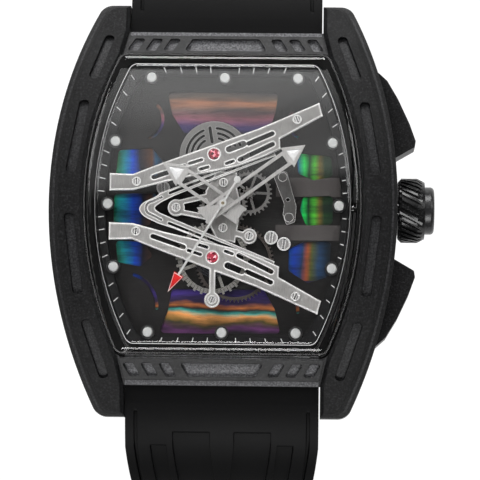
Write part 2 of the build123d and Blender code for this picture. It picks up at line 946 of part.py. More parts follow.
def spoked_wheel(teeth, radius, hub, spokes, height, place, turn, thickness):
    """Toothed wheel with a rim, a hub and straight spokes, added to the current part."""
    rim = radius - 3.6 * radius / teeth - 0.07 * radius
    with BuildSketch(turned(height, place, turn)) as outline:
        gear(teeth, radius)
        if rim > 2 * hub:
            Circle(rim, mode=Mode.SUBTRACT)
            Circle(hub)
            with PolarLocations((rim + hub / 2) / 2, spokes):
                Rectangle(rim - hub / 2 + 0.05 * radius, 0.11 * radius)
    extrude(outline.sketch, amount=thickness)


def rod(radius, low, high, place):
    """Upright rod between two heights, added to the current part."""
    with BuildSketch(spot(low, place)) as outline:
        Circle(radius)
    extrude(outline.sketch, amount=high - low)


def bore(radius, low, high, place):
    """Upright hole between two heights."""
    with BuildSketch(spot(low, place)) as outline:
        Circle(radius)
    extrude(outline.sketch, amount=high - low, mode=Mode.SUBTRACT)


centre_radius = pitch_radius(centre_wheel_teeth, third_pinion_teeth, train_distance)
third_pinion_radius = pitch_radius(third_pinion_teeth, centre_wheel_teeth, train_distance)
third_radius = pitch_radius(third_wheel_teeth, seconds_pinion_teeth, train_distance)
seconds_pinion_radius = pitch_radius(seconds_pinion_teeth, third_wheel_teeth, train_distance)
fourth_radius = pitch_radius(fourth_wheel_teeth, escape_pinion_teeth, escape_distance)
escape_pinion_radius = pitch_radius(escape_pinion_teeth, fourth_wheel_teeth, escape_distance)
barrel_radius = pitch_radius(barrel_teeth, barrel_pinion_teeth, barrel_distance)
barrel_pinion_radius = pitch_radius(barrel_pinion_teeth, barrel_teeth, barrel_distance)
cannon_radius = pitch_radius(cannon_teeth, minute_wheel_teeth, motion_distance)
minute_wheel_radius = pitch_radius(minute_wheel_teeth, cannon_teeth, motion_distance)
minute_pinion_radius = pitch_radius(minute_pinion_teeth, hour_wheel_teeth, motion_distance)
hour_wheel_radius = pitch_radius(hour_wheel_teeth, minute_pinion_teeth, motion_distance)
cannon_low = drum_level + drum_gear_thickness

with BuildPart() as centre_wheel:
    spoked_wheel(
        centre_wheel_teeth, centre_radius, 1.6 * minute_tube_radius, 5, centre_level, hand_axis,
        driver_turn(third_bearing), wheel_thickness,
    )
    rod(minute_tube_radius, centre_level, cannon_low, hand_axis)
    spoked_wheel(
        barrel_pinion_teeth, barrel_pinion_radius, barrel_pinion_radius, 4, drum_level, hand_axis,
        driver_turn(barrel_bearing), drum_gear_thickness,
    )
    bore(minute_tube_bore, centre_level - overrun, cannon_low + overrun, hand_axis)
save(centre_wheel, "centre_wheel")

with BuildPart() as cannon_pinion:
    spoked_wheel(
        cannon_teeth, cannon_radius, cannon_radius, 4, minute_wheel_level, hand_axis,
        driver_turn(motion_bearing), motion_thickness,
    )
    rod(minute_tube_radius, cannon_low, minute_hand_level + hand_thickness, hand_axis)
    bore(minute_tube_bore, cannon_low - overrun, minute_hand_level + overrun, hand_axis)
save(cannon_pinion, "cannon_pinion")

with BuildPart() as fourth_wheel:
    spoked_wheel(
        fourth_wheel_teeth, fourth_radius, 3 * seconds_arbor_radius, 5, fourth_level, hand_axis,
        driver_turn(escape_bearing), wheel_thickness,
    )
    spoked_wheel(
        seconds_pinion_teeth, seconds_pinion_radius, seconds_pinion_radius, 4, third_level, hand_axis,
        driver_turn(third_bearing), wheel_thickness,
    )
    rod(seconds_arbor_radius, train_floor + seat_gap, seconds_hand_level + seconds_thickness, hand_axis)
save(fourth_wheel, "fourth_wheel")

with BuildPart() as third_wheel:
    spoked_wheel(
        third_wheel_teeth, third_radius, 3 * arbor_radius, 5, third_level, third_place,
        mesh_turn(third_wheel_teeth, third_bearing), wheel_thickness,
    )
    spoked_wheel(
        third_pinion_teeth, third_pinion_radius, third_pinion_radius, 4, centre_level, third_place,
        mesh_turn(third_pinion_teeth, third_bearing), wheel_thickness,
    )
    rod(arbor_radius, train_floor + seat_gap, main_plate_low - seat_gap, third_place)
save(third_wheel, "third_wheel")

with BuildPart() as escape_wheel:
    spoked_wheel(
        escape_pinion_teeth, escape_pinion_radius, escape_pinion_radius, 4, fourth_level, escape_place,
        mesh_turn(escape_pinion_teeth, escape_bearing), wheel_thickness,
    )
    rod(arbor_radius, train_floor + seat_gap, third_level + wheel_thickness, escape_place)
    with BuildSketch(spot(third_level, escape_place)):
        tooth_root = 0.72 * escape_wheel_radius
        tips = []
        for tooth in range(escape_wheel_teeth):
            start = 2 * pi * tooth / escape_wheel_teeth
            tips.append((tooth_root * cos(start), tooth_root * sin(start)))
            lean = start + 1.3 * pi / escape_wheel_teeth
            tips.append((escape_wheel_radius * cos(lean), escape_wheel_radius * sin(lean)))
        face_of(tips)
        Circle(0.55 * escape_wheel_radius, mode=Mode.SUBTRACT)
        Circle(0.24 * escape_wheel_radius)
        with PolarLocations(0.4 * escape_wheel_radius, 4):
            Rectangle(0.45 * escape_wheel_radius, 0.12 * escape_wheel_radius)
    extrude(amount=wheel_thickness)
save(escape_wheel, "escape_wheel")

fork_bearing = degrees(atan2(balance_place[1] - pallet_place[1], balance_place[0] - pallet_place[0]))
fork_reach = hypot(balance_place[0] - pallet_place[0], balance_place[1] - pallet_place[1])
fork_end = fork_reach - roller_radius - fit_gap
with BuildPart() as pallet_fork:
    with BuildSketch(turned(third_level, pallet_place, fork_bearing)):
        Circle(1.8 * arbor_radius)
        face_of(
            [
                (0, arbor_radius),
                (0.7 * fork_end, 0.6 * arbor_radius),
                (0.96 * fork_end, 1.4 * arbor_radius),
                (0.96 * fork_end, -1.4 * arbor_radius),
                (0.7 * fork_end, -0.6 * arbor_radius),
                (0, -arbor_radius),
            ]
        )
    extrude(amount=wheel_thickness)
    # Two arms towards the escape wheel, stopping short of its tips
    with BuildSketch(turned(third_level, pallet_place, pallet_bearing + 180)):
        arm = pallet_distance - escape_wheel_radius - fit_gap
        face_of(
            [
                (-0.4 * arm, 3.4 * arm),
                (0.1 * arm, 3.4 * arm),
                (0.55 * arm, 0.6 * arm),
                (0.55 * arm, -0.6 * arm),
                (0.1 * arm, -3.4 * arm),
                (-0.4 * arm, -3.4 * arm),
                (-0.5 * arm, 0),
            ]
        )
    extrude(amount=wheel_thickness)
    rod(0.8 * arbor_radius, train_floor + seat_gap, third_level + wheel_thickness, pallet_place)
save(pallet_fork, "pallet_fork")

# Barrel in its well, with mainspring and slotted ratchet disc
drum_low = drum_level - drum_depth
drum_top = drum_level + drum_gear_thickness
with BuildPart() as barrel:
    spoked_wheel(
        barrel_teeth, barrel_radius, barrel_radius, 4, drum_level, barrel_place,
        mesh_turn(barrel_teeth, barrel_bearing), drum_gear_thickness,
    )
    rod(drum_radius, drum_low, drum_level, barrel_place)
    with BuildSketch(spot(drum_low + drum_wall, barrel_place)):
        Circle(drum_radius - drum_wall)
        Circle(3 * arbor_radius, mode=Mode.SUBTRACT)
    extrude(amount=drum_depth - drum_wall, mode=Mode.SUBTRACT)
    rod(1.5 * arbor_radius, drum_top, beam_level - seat_gap, barrel_place)
save(barrel, "barrel")

with BuildPart() as mainspring:
    with BuildSketch(spot(drum_low + drum_wall + fit_gap / 2, barrel_place)):
        spiral_strip(
            3 * arbor_radius + mainspring_strip, drum_radius - drum_wall - mainspring_strip, mainspring_turns,
            mainspring_strip,
        )
    extrude(amount=drum_depth - drum_wall - fit_gap)
save(mainspring, "mainspring")

with BuildPart() as ratchet_disc:
    with BuildSketch(spot(ratchet_level, barrel_place)):
        Circle(ratchet_radius)
        Circle(1.5 * arbor_radius, mode=Mode.SUBTRACT)
        for slots_share, sweep in ((0.8, 62), (0.66, 54), (0.52, 44)):
            middle = slots_share * ratchet_radius
            for quarter in range(4):
                start = 90 * quarter + 10 + (90 - sweep) / 2
                curved_slot(middle, start, sweep, 0.075 * ratchet_radius)
        with PolarLocations(0.62 * ratchet_radius, 4, start_angle=10):
            SlotOverall(0.5 * ratchet_radius, 0.09 * ratchet_radius, mode=Mode.SUBTRACT)
    extrude(amount=ratchet_thickness)
    fillet(edges().group_by(Axis.Z)[-1].sort_by(Edge.length)[-1], ratchet_thickness / 3)
save(ratchet_disc, "ratchet_disc")

# Motion work under the hands
with BuildPart() as minute_wheel:
    spoked_wheel(
        minute_wheel_teeth, minute_wheel_radius, 3 * arbor_radius, 5, minute_wheel_level, motion_place,
        mesh_turn(minute_wheel_teeth, motion_bearing), motion_thickness,
    )
    rod(arbor_radius, dial_top + seat_gap, hour_wheel_level + motion_thickness, motion_place)
    rod(minute_pinion_radius / 2, minute_wheel_level, hour_wheel_level + motion_thickness, motion_place)
    spoked_wheel(
        minute_pinion_teeth, minute_pinion_radius, minute_pinion_radius, 4, hour_wheel_level, motion_place,
        driver_turn(motion_bearing + 180), motion_thickness,
    )
save(minute_wheel, "minute_wheel")

with BuildPart() as hour_wheel:
    spoked_wheel(
        hour_wheel_teeth, hour_wheel_radius, 1.3 * hour_tube_radius, 4, hour_wheel_level, hand_axis,
        mesh_turn(hour_wheel_teeth, motion_bearing + 180), motion_thickness,
    )
    rod(hour_tube_radius, hour_wheel_level, hour_hand_level + hand_thickness, hand_axis)
    bore(hour_tube_bore, hour_wheel_level - overrun, hour_hand_level + overrun, hand_axis)
save(hour_wheel, "hour_wheel")

# Balance with its staff and hairspring, and the toothed ring on the dial
with BuildPart() as balance_wheel:
    with BuildSketch(spot(balance_level, balance_place)):
        Circle(balance_radius)
        Circle(balance_radius - balance_rim, mode=Mode.SUBTRACT)
        Circle(3 * staff_radius)
        with PolarLocations((balance_radius - balance_rim) / 2, 4, start_angle=20):
            Rectangle(balance_radius - balance_rim / 2, balance_rim * 0.7)
        Circle(staff_radius, mode=Mode.SUBTRACT)
    extrude(amount=balance_thickness)
    with BuildSketch(spot(balance_level, balance_place)):
        with PolarLocations(balance_radius - balance_stud_length / 6, balance_studs):
            Rectangle(balance_stud_length, balance_stud_width)
    extrude(amount=1.4 * balance_thickness)
save(balance_wheel, "balance_wheel")

with BuildPart() as balance_staff:
    rod(staff_radius, train_floor + seat_gap, beam_level - seat_gap, balance_place)
    rod(roller_radius, third_level, third_level + wheel_thickness, balance_place)
save(balance_staff, "balance_staff")

with BuildPart() as hairspring:
    with BuildSketch(spot(hairspring_level, balance_place)):
        spiral_strip(staff_radius + spring_strip, hairspring_radius, hairspring_turns, spring_strip)
    extrude(amount=hairspring_height)
save(hairspring, "hairspring")

with BuildPart() as index_ring:
    with BuildSketch(spot(dial_top, (index_ring_place_x, index_ring_place_y))):
        gear(index_ring_teeth, index_ring_radius)
        Circle(index_ring_radius - index_ring_width, mode=Mode.SUBTRACT)
    extrude(amount=index_ring_height)
save(index_ring, "index_ring")

# Bridges: outlines as shares of the dial's half width and half length
beam_outline_share = [
    (-0.935, 0.095), (-0.935, 0.22), (-0.745, 0.215), (-0.5, 0.3), (0.28, 0.552), (0.78, 0.745),
    (0.81, 0.65), (0.46, 0.48), (0.465, 0.405), (0.335, 0.352), (0.12, 0.28), (-0.475, 0.162), (-0.74, 0.1),
]
beam_slots_share = [
    (-0.573, 0.194, -0.32, 0.27, 0.6), (-0.28, 0.294, -0.18, 0.323, 0.4), (0.043, 0.4, 0.16, 0.441, 0.8),
    (0.203, 0.444, 0.397, 0.518, 0.6), (0.023, 0.297, 0.08, 0.315, 0.4), (0.133, 0.326, 0.4, 0.441, 0.6),
    (-0.193, 0.253, -0.127, 0.27, 0.4),
]
lower_beam_drop = 0.7
left_screw_share = (-0.712, 0.16)
right_screw_share = (0.6, 0.62)


def on_beam(side, share):
    """Place on the upper (side 1) or lower (side -1) beam."""
    x, y = on_dial(share)
    return (x, y) if side > 0 else (x, -y - lower_beam_drop)


def beam_sketch(side):
    """Outline and slots of a beam; side is 1 for the upper and -1 for the lower one."""
    face_of([on_beam(side, share) for share in beam_outline_share])
    for x0, y0, x1, y1, width in beam_slots_share:
        straight_slot(on_beam(side, (x0, y0)), on_beam(side, (x1, y1)), width)


def screw_holes(places):
    """Clearance holes for bridge screws."""
    with Locations(*places):
        Circle(screw_shank_radius + seat_gap, mode=Mode.SUBTRACT)


upper_screws = [on_beam(1, left_screw_share), on_beam(1, right_screw_share)]
lower_screws = [on_beam(-1, left_screw_share), on_beam(-1, right_screw_share)]
eyelet_place = (barrel_place[0], -0.69 * dial_half_length)
eyelet_radius = 0.95
stem_width = 0.75

with BuildPart() as upper_bridge:
    with BuildSketch(level(beam_level)):
        beam_sketch(1)
        screw_holes(upper_screws)
        with Locations(barrel_place):
            Circle(jewel_radius, mode=Mode.SUBTRACT)
    extrude(amount=beam_thickness)
    chamfer(faces().sort_by(Axis.Z)[-1].outer_wire().edges(), bridge_bevel)
save(upper_bridge, "upper_bridge")

with BuildPart() as lower_bridge:
    with BuildSketch(level(beam_level)):
        beam_sketch(-1)
        with Locations((eyelet_place[0], (eyelet_place[1] + balance_place[1]) / 2)):
            Rectangle(stem_width, balance_place[1] - eyelet_place[1])
        with Locations(eyelet_place):
            Circle(eyelet_radius)
        screw_holes(lower_screws + [eyelet_place])
        with Locations(balance_place):
            Circle(jewel_radius, mode=Mode.SUBTRACT)
    extrude(amount=beam_thickness)
    chamfer(faces().sort_by(Axis.Z)[-1].outer_wire().edges(), bridge_bevel)
save(lower_bridge, "lower_bridge")

hairpin_outer_shares = [
    (0.407, 0.406), (-0.399, 0.124), (-0.527, 0.078), (-0.62, 0.029), (-0.675, -0.005), (-0.689, -0.034),
    (-0.677, -0.062), (-0.623, -0.101), (-0.54, -0.135), (-0.399, -0.175), (0.407, -0.448),
]
hairpin_inner_shares = [
    (0.427, -0.406), (-0.399, -0.108), (-0.5, -0.069), (-0.547, -0.046), (-0.562, -0.026), (-0.55, -0.009),
    (-0.5, 0.022), (-0.399, 0.067), (0.427, 0.362),
]
hairpin_slot_shares = [((-0.44, 0.0835), (0.333, 0.355)), ((-0.444, -0.136), (0.333, -0.4))]
hairpin_slot_width = 0.35
nose_groove_shares = [(-0.585, 0.019), (-0.635, -0.026), (-0.593, -0.074)]
arm_groove_shares = [((-0.585, 0.019), (-0.509, 0.051)), ((-0.593, -0.074), (-0.509, -0.111))]
nose_groove_width = 0.28
hairpin_foot_radius = 0.2
hairpin_foot_shares = [(0.363, 0.366), (0.363, -0.409), (-0.517, 0.048), (-0.517, -0.103)]


def hairpin_sketch():
    """Rounded nose with two slotted arms."""
    outer = [on_dial(share) for share in hairpin_outer_shares]
    inner = [on_dial(share) for share in hairpin_inner_shares]
    with BuildLine() as outline:
        Polyline(*outer[:3])
        Spline(*outer[2:-2])
        Polyline(*outer[-3:], *inner[:3])
        Spline(*inner[2:-2])
        Polyline(*inner[-3:], outer[0])
    make_face(outline.edges())
    for start, finish in hairpin_slot_shares:
        straight_slot(on_dial(start), on_dial(finish), hairpin_slot_width)


with BuildPart() as hairpin_bridge:
    with BuildSketch(level(hairpin_level)):
        hairpin_sketch()
    extrude(amount=hairpin_thickness / 2)
    with BuildSketch(level(hairpin_level + hairpin_thickness / 2)):
        hairpin_sketch()
        bent_slot([on_dial(share) for share in nose_groove_shares], nose_groove_width)
        for start, finish in arm_groove_shares:
            straight_slot(on_dial(start), on_dial(finish), nose_groove_width)
    extrude(amount=hairpin_thickness / 2)
save(hairpin_bridge, "hairpin_bridge")

left_eyelet = on_dial((-0.388, -0.02))
right_eyelet = on_dial((0.215, -0.222))
top_foot = on_dial((0.0, 0.165))
low_foot = on_dial((0.0, -0.165))
with BuildPart() as centre_bridge:
    with BuildSketch(level(centre_bridge_level)):
        face_of(
            [
                on_dial((-0.06, 0.25)), on_dial((0.11, 0.24)), on_dial((0.11, 0.13)), on_dial((0.14, 0.03)),
                on_dial((0.13, -0.11)), on_dial((0.1, -0.27)), on_dial((-0.05, -0.25)), on_dial((-0.12, -0.13)),
                on_dial((-0.13, 0.0)), on_dial((-0.15, 0.1)),
            ]
        )
        with Locations(left_eyelet):
            Circle(1.1 * eyelet_radius)
        with Locations(right_eyelet):
            Circle(eyelet_radius)
        face_of([on_dial(p) for p in ((-0.4, 0.03), (-0.12, 0.09), (-0.12, 0.05), (-0.37, 0.0))])
        face_of([on_dial(p) for p in ((-0.41, -0.06), (-0.12, -0.11), (-0.12, -0.07), (-0.37, -0.03))])
        face_of([on_dial(p) for p in ((0.08, -0.17), (0.2, -0.2), (0.2, -0.25), (0.08, -0.22))])
        Circle(hour_tube_radius + fit_gap, mode=Mode.SUBTRACT)
        screw_holes([left_eyelet, right_eyelet, top_foot, low_foot])
    extrude(amount=centre_bridge_thickness)
    chamfer(faces().sort_by(Axis.Z)[-1].outer_wire().edges(), bridge_bevel)
save(centre_bridge, "centre_bridge")

jewel_places = [barrel_place, balance_place]
with BuildPart() as bridge_jewels:
    with BuildSketch(level(beam_level)):
        with Locations(*jewel_places):
            Circle(jewel_radius - seat_gap)
    extrude(amount=beam_thickness + jewel_stand)
    chamfer(edges().group_by(Axis.Z)[-1], 2 * jewel_stand)
save(bridge_jewels, "bridge_jewels")

# Screws in the bridges: a slotted head on the bridge and a shank down to the dial
screw_spots = (
    [(place, beam_top) for place in upper_screws + lower_screws + [eyelet_place]]
    + [(place, centre_bridge_level + centre_bridge_thickness) for place in (left_eyelet, right_eyelet)]
)
short_screws = [(place, centre_bridge_level + centre_bridge_thickness) for place in (top_foot, low_foot)]
plate_screw_shares = [(0.395, -0.225), (0.5, -0.27), (-0.5, 0.13)]
with BuildPart() as bridge_screws:
    for place, top in screw_spots + short_screws:
        rod(screw_head_radius, top, top + screw_head_height, place)
        bore(screw_dish_radius, top + screw_head_height - screw_dish_depth, top + screw_head_height, place)
        with BuildSketch(turned(top + screw_head_height - screw_slot_depth, place, screw_turn * place[1])):
            Rectangle(screw_slot_width, 2 * screw_dish_radius)
        extrude(amount=screw_slot_depth, mode=Mode.SUBTRACT)
    for place, top in screw_spots:
        rod(screw_shank_radius, dial_top + seat_gap, top, place)
    for place, top in short_screws:
        rod(screw_shank_radius, centre_bridge_level, top, place)
    for share in plate_screw_shares:
        place = on_dial(share)
        rod(plate_screw_radius, plate_screw_level, plate_screw_level + plate_screw_height, place)
        rod(small_pillar_radius, dial_top, plate_screw_level, place)
        plate_screw_top = plate_screw_level + plate_screw_height
        bore(plate_dish_radius, plate_screw_top - screw_dish_depth, plate_screw_top, place)
        with BuildSketch(turned(plate_screw_top - screw_slot_depth, place, screw_turn * place[1])):
            Rectangle(1.4 * screw_slot_width, 2 * plate_dish_radius)
        extrude(amount=screw_slot_depth, mode=Mode.SUBTRACT)
save(bridge_screws, "bridge_screws")

with BuildPart() as bridge_pillars:
    for place, low_of in (
        [(place, beam_level) for place in upper_screws + lower_screws + [eyelet_place]]
        + [(place, centre_bridge_level) for place in (left_eyelet, right_eyelet)]
    ):
        rod(pillar_radius, dial_top, low_of, place)
        bore(screw_shank_radius + seat_gap, dial_top, low_of, place)
    for share in hairpin_foot_shares:
        rod(hairpin_foot_radius, dial_top, hairpin_level, on_dial(share))
save(bridge_pillars, "bridge_pillars")

# Lever bridge beside 3 o'clock: a curved plate on two feet
lever_outline_share = [
    (0.44, 0.27), (0.52, 0.25), (0.56, 0.12), (0.6, 0.0), (0.59, -0.11), (0.52, -0.135), (0.49, -0.06),
    (0.5, 0.02), (0.45, 0.13), (0.41, 0.22),
]
lever_feet = [on_dial((0.485, 0.215)), on_dial((0.54, -0.08))]
with BuildPart() as lever_bridge:
    with BuildSketch(level(setting_bridge_level + setting_bridge_thickness)):
        face_of([on_dial(share) for share in lever_outline_share], window_round / 2)
        with Locations(on_dial((0.53, 0.05))):
            Circle(screw_shank_radius, mode=Mode.SUBTRACT)
    extrude(amount=setting_bridge_thickness)
    for place in lever_feet:
        rod(small_pillar_radius, dial_top, setting_bridge_level + setting_bridge_thickness, place)
        rod(screw_head_radius, setting_bridge_level + 2 * setting_bridge_thickness,
            setting_bridge_level + 2 * setting_bridge_thickness + screw_head_height / 2, place)
save(lever_bridge, "lever_bridge")


# Hands: each points along its plane's own Y
def clock_plane(height, clock):
    """Horizontal plane whose Y points at a clock angle."""
    turn = radians(clock)
    return Plane(
        origin=(0, 0, case_back_height + height), x_dir=(cos(turn), -sin(turn), 0), z_dir=(0, 0, 1)
    )


def framed_hand(length, head_length, half_width, spread, tail):
    """Open arrowhead on two rails, with a cross plate at the tail."""
    neck = length - head_length
    face_of([(0, length), (half_width, neck), (-half_width, neck)])
    shrink = hand_frame
    slope = head_length / half_width
    tip_back = shrink * sqrt(1 + slope**2)
    inner_half = (head_length - tip_back - shrink) / slope
    hole_of([(0, length - tip_back), (inner_half, neck + shrink), (-inner_half, neck + shrink)])
    for side in (1, -1):
        with Locations((side * spread, (neck - tail) / 2)):
            Rectangle(hand_rail_width, neck + tail + hand_frame)
    with Locations((0, neck)):
        Rectangle(2 * spread, 2 * hand_frame)


with BuildPart() as hour_hand:
    with BuildSketch(clock_plane(hour_hand_level, hour_clock)):
        framed_hand(hour_length, hour_head_length, hour_head_half_width, hour_rail_spread, hour_tail)
        with Locations((0, -0.7 * hour_tail)):
            Rectangle(2.2 * hour_rail_spread, 0.6 * hour_tail)
        Circle(hour_hub_radius)
        Circle(hour_tube_radius, mode=Mode.SUBTRACT)
    extrude(amount=hand_thickness)
save(hour_hand, "hour_hand")

with BuildPart() as minute_hand:
    with BuildSketch(clock_plane(minute_hand_level, minute_clock)):
        framed_hand(minute_length, minute_head_length, minute_head_half_width, minute_rail_spread, minute_tail)
        face_of(
            [
                (0, -0.1 * minute_tail), (minute_head_half_width, -minute_tail),
                (-minute_head_half_width, -minute_tail),
            ]
        )
        Circle(minute_hub_radius)
        Circle(minute_tube_radius, mode=Mode.SUBTRACT)
    extrude(amount=hand_thickness)
save(minute_hand, "minute_hand")

with BuildPart() as seconds_hand:
    with BuildSketch(clock_plane(seconds_hand_level, seconds_clock)):
        neck = seconds_length - seconds_head_length
        face_of([(0, seconds_length), (seconds_head_half_width, neck), (-seconds_head_half_width, neck)])
        with Locations((0, (neck - seconds_tail) / 2)):
            Rectangle(seconds_needle_width, neck + seconds_tail)
        with Locations((0, -seconds_tail)):
            Circle(1.6 * seconds_needle_width)
        Circle(seconds_hub_radius)
        Circle(seconds_arbor_radius, mode=Mode.SUBTRACT)
    extrude(amount=seconds_thickness)
save(seconds_hand, "seconds_hand")

# Rotor on its bearing
with BuildPart() as rotor:
    with BuildSketch(level(rotor_low)):
        Circle(rotor_radius)
        with Locations((0, rotor_radius)):
            Rectangle(2 * rotor_radius + overrun, 2 * rotor_radius, mode=Mode.SUBTRACT)
        Circle(rotor_hub_radius)
        Circle(bearing_radius + running_gap, mode=Mode.SUBTRACT)
        for bearing in (225, 270, 315):
            with Locations(polar(0.5 * rotor_radius, bearing)):
                Circle(0.17 * rotor_radius, mode=Mode.SUBTRACT)
    extrude(amount=rotor_thickness)
    with BuildSketch(level(rotor_low - rotor_rim_height + rotor_thickness)):
        Circle(rotor_radius)
        Circle(rotor_radius - rotor_rim_width, mode=Mode.SUBTRACT)
        with Locations((0, rotor_radius)):
            Rectangle(2 * rotor_radius + overrun, 2 * rotor_radius, mode=Mode.SUBTRACT)
    extrude(amount=rotor_rim_height)
save(rotor, "rotor")

with BuildPart() as rotor_bearing:
    rod(bearing_radius, train_bridge_low - bearing_height - rotor_thickness / 2, train_bridge_low, hand_axis)
    rod(1.6 * bearing_radius, rotor_low - running_gap - 0.2 * bearing_height, rotor_low - running_gap, hand_axis)
save(rotor_bearing, "rotor_bearing")


# Crown, cap, stem, tube and setting lever, all on one axis
def crown_plane(x):
    """Upright plane across the crown's axis."""
    return Plane(origin=(x, 0, case_back_height + crown_height), x_dir=(0, 1, 0), z_dir=(1, 0, 0))


crown_start = case_half_width + crown_gap
crown_end = crown_start + crown_length
tube_start = cavity_half_width + fit_gap
tube_end = crown_start + crown_tube_stand
with BuildPart() as crown:
    with BuildSketch(crown_plane(crown_start)):
        Circle(crown_radius)
    extrude(amount=crown_length)
    chamfer(edges().group_by(Axis.X)[-1], 2 * crown_chamfer, crown_chamfer)
    chamfer(edges().group_by(Axis.X)[0], crown_chamfer)
    for ridge in range(crown_ridges):
        angle = 2 * pi * ridge / crown_ridges
        outward = (0, cos(angle), sin(angle))
        across = (0, -sin(angle), cos(angle))
        tilt = radians(crown_ridge_tilt)
        along = (cos(tilt), sin(tilt) * across[1], sin(tilt) * across[2])
        middle = (
            crown_start + crown_length / 2,
            crown_radius * outward[1],
            case_back_height + crown_height + crown_radius * outward[2],
        )
        with BuildSketch(Plane(origin=middle, x_dir=along, z_dir=outward)):
            Rectangle(2 * crown_length, crown_ridge_width)
        extrude(amount=-crown_ridge_depth, mode=Mode.SUBTRACT)
    with BuildSketch(crown_plane(crown_start - overrun)):
        Circle(crown_tube_radius + running_gap)
    extrude(amount=crown_socket_depth + overrun, mode=Mode.SUBTRACT)
    with BuildSketch(crown_plane(crown_start)):
        Circle(stem_radius)
    extrude(amount=crown_length - crown_chamfer, mode=Mode.SUBTRACT)
save(crown, "crown")

with BuildPart() as crown_cap:
    with BuildSketch(crown_plane(crown_end)):
        Circle(crown_cap_radius)
    extrude(amount=crown_cap_length)
    fillet(edges().group_by(Axis.X)[-1], crown_cap_round)
save(crown_cap, "crown_cap")

with BuildPart() as crown_tube:
    with BuildSketch(crown_plane(tube_start)):
        Circle(crown_tube_radius - seat_gap)
        Circle(crown_tube_bore, mode=Mode.SUBTRACT)
    extrude(amount=tube_end - tube_start)
save(crown_tube, "crown_tube")

neck_start = stem_start + stem_neck_length
with BuildPart() as stem:
    with BuildSketch(crown_plane(stem_start)):
        Circle(stem_radius)
    extrude(amount=crown_end - crown_chamfer - stem_start)
    with BuildSketch(crown_plane(neck_start)):
        Circle(stem_radius + overrun)
        Circle(stem_neck_radius, mode=Mode.SUBTRACT)
    extrude(amount=stem_neck_length, mode=Mode.SUBTRACT)
save(stem, "stem")

with BuildPart() as setting_lever:
    with BuildSketch(crown_plane(neck_start + (stem_neck_length - lever_thickness) / 2)):
        with Locations((0.8 * stem_radius, 0)):
            Rectangle(2.6 * stem_radius, 1.9 * stem_radius)
        Circle(stem_neck_radius + running_gap, mode=Mode.SUBTRACT)
        with Locations((-stem_radius, 0)):
            Rectangle(2 * stem_radius, 2 * (stem_neck_radius + running_gap), mode=Mode.SUBTRACT)
    extrude(amount=lever_thickness)
save(setting_lever, "setting_lever")

# Pushers, one above and one below the crown
for side, name in ((1, "pusher_upper"), (-1, "pusher_lower")):
    with BuildPart() as pusher:
        with BuildSketch(level(pusher_low)):
            face_of(pusher_outline(side, 0, 0))
        extrude(amount=pusher_high - pusher_low)
        fillet(faces().sort_by(Axis.Z)[-1].edges().sort_by(Axis.X)[-3:], pusher_round)
        with BuildSketch(Plane.YZ.offset(case_half_width - pusher_rod_depth)):
            with Locations((side * pusher_rod_place, case_back_height + (pusher_low + pusher_high) / 2)):
                Circle(pusher_rod_radius)
        extrude(amount=pusher_rod_depth)
    save(pusher, name)

# Strap: route of its middle line, seen from the side, for one half
def strap_route(flat_height, flat_end):
    """Points of the middle line from the case down and in under the wrist."""
    top = case_back_height + strap_start_height
    return [
        (strap_pocket_start + 2 * strap_gap, top),
        (strap_shoulder, top - strap_lean),
        (strap_side, case_back_height - strap_side_drop),
        (strap_low_side, strap_low_height),
        (strap_turn_in, flat_height),
        (flat_end, flat_height),
    ]


strap_radii = [strap_shoulder_radius, strap_side_radius, strap_low_radius, strap_turn_radius]


def lane(route, shift):
    """The route moved outwards by a distance, with the radii of its corners."""
    normals = []
    for start, finish in zip(route, route[1:]):
        dy, dz = finish[0] - start[0], finish[1] - start[1]
        length = hypot(dy, dz)
        normals.append((-dz / length, dy / length))
    moved = [(route[0][0] + normals[0][0] * shift, route[0][1] + normals[0][1] * shift)]
    for point, before, after in zip(route[1:], normals, normals[1:]):
        share = shift / (1 + before[0] * after[0] + before[1] * after[1])
        moved.append((point[0] + (before[0] + after[0]) * share, point[1] + (before[1] + after[1]) * share))
    moved.append((route[-1][0] + normals[-1][0] * shift, route[-1][1] + normals[-1][1] * shift))
    return moved, [radius + shift for radius in strap_radii]


def strap_band(side, route, low, high):
    """Side view of a layer of the strap between two distances from its middle line."""
    low_points, low_radii = lane(route, low)
    high_points, high_radii = lane(route, high)
    low_points = [(side * y, z) for y, z in low_points]
    high_points = [(side * y, z) for y, z in high_points]
    with BuildLine() as outline:
        FilletPolyline(*low_points, radius=low_radii)
        FilletPolyline(*high_points, radius=high_radii)
        Line(low_points[0], high_points[0])
        Line(low_points[-1], high_points[-1])
    make_face(outline.edges())


strap_knee = case_back_height + strap_knee_rise
strap_waist = case_back_height - strap_waist_drop


def half_width_at(z):
    """Half width of the strap at a height: wide at the case, narrower at the waist and the buckle."""
    if z > strap_waist:
        share = min((z - strap_waist) / (strap_knee - strap_waist), 1)
        return (strap_waist_width + share * (strap_width - strap_waist_width)) / 2
    share = max((z - short_high) / (strap_waist - short_high), 0)
    return (strap_buckle_width + share * (strap_waist_width - strap_buckle_width)) / 2


def edge_line(inset, low, high):
    """Points down the strap's edge, drawn in by an inset, between two heights."""
    heights = [low] + [z for z in (short_high, strap_waist, strap_knee) if low < z < high] + [high]
    return [(half_width_at(z) - inset, z) for z in heights]


def strap_front(inner, outer, low, high):
    """Front view of a strip between two distances in from the strap's edge, on both sides."""
    for side in (1, -1):
        strip = edge_line(inner, low, high) + edge_line(outer, low, high)[::-1]
        face_of([(side * x, z) for x, z in strip])


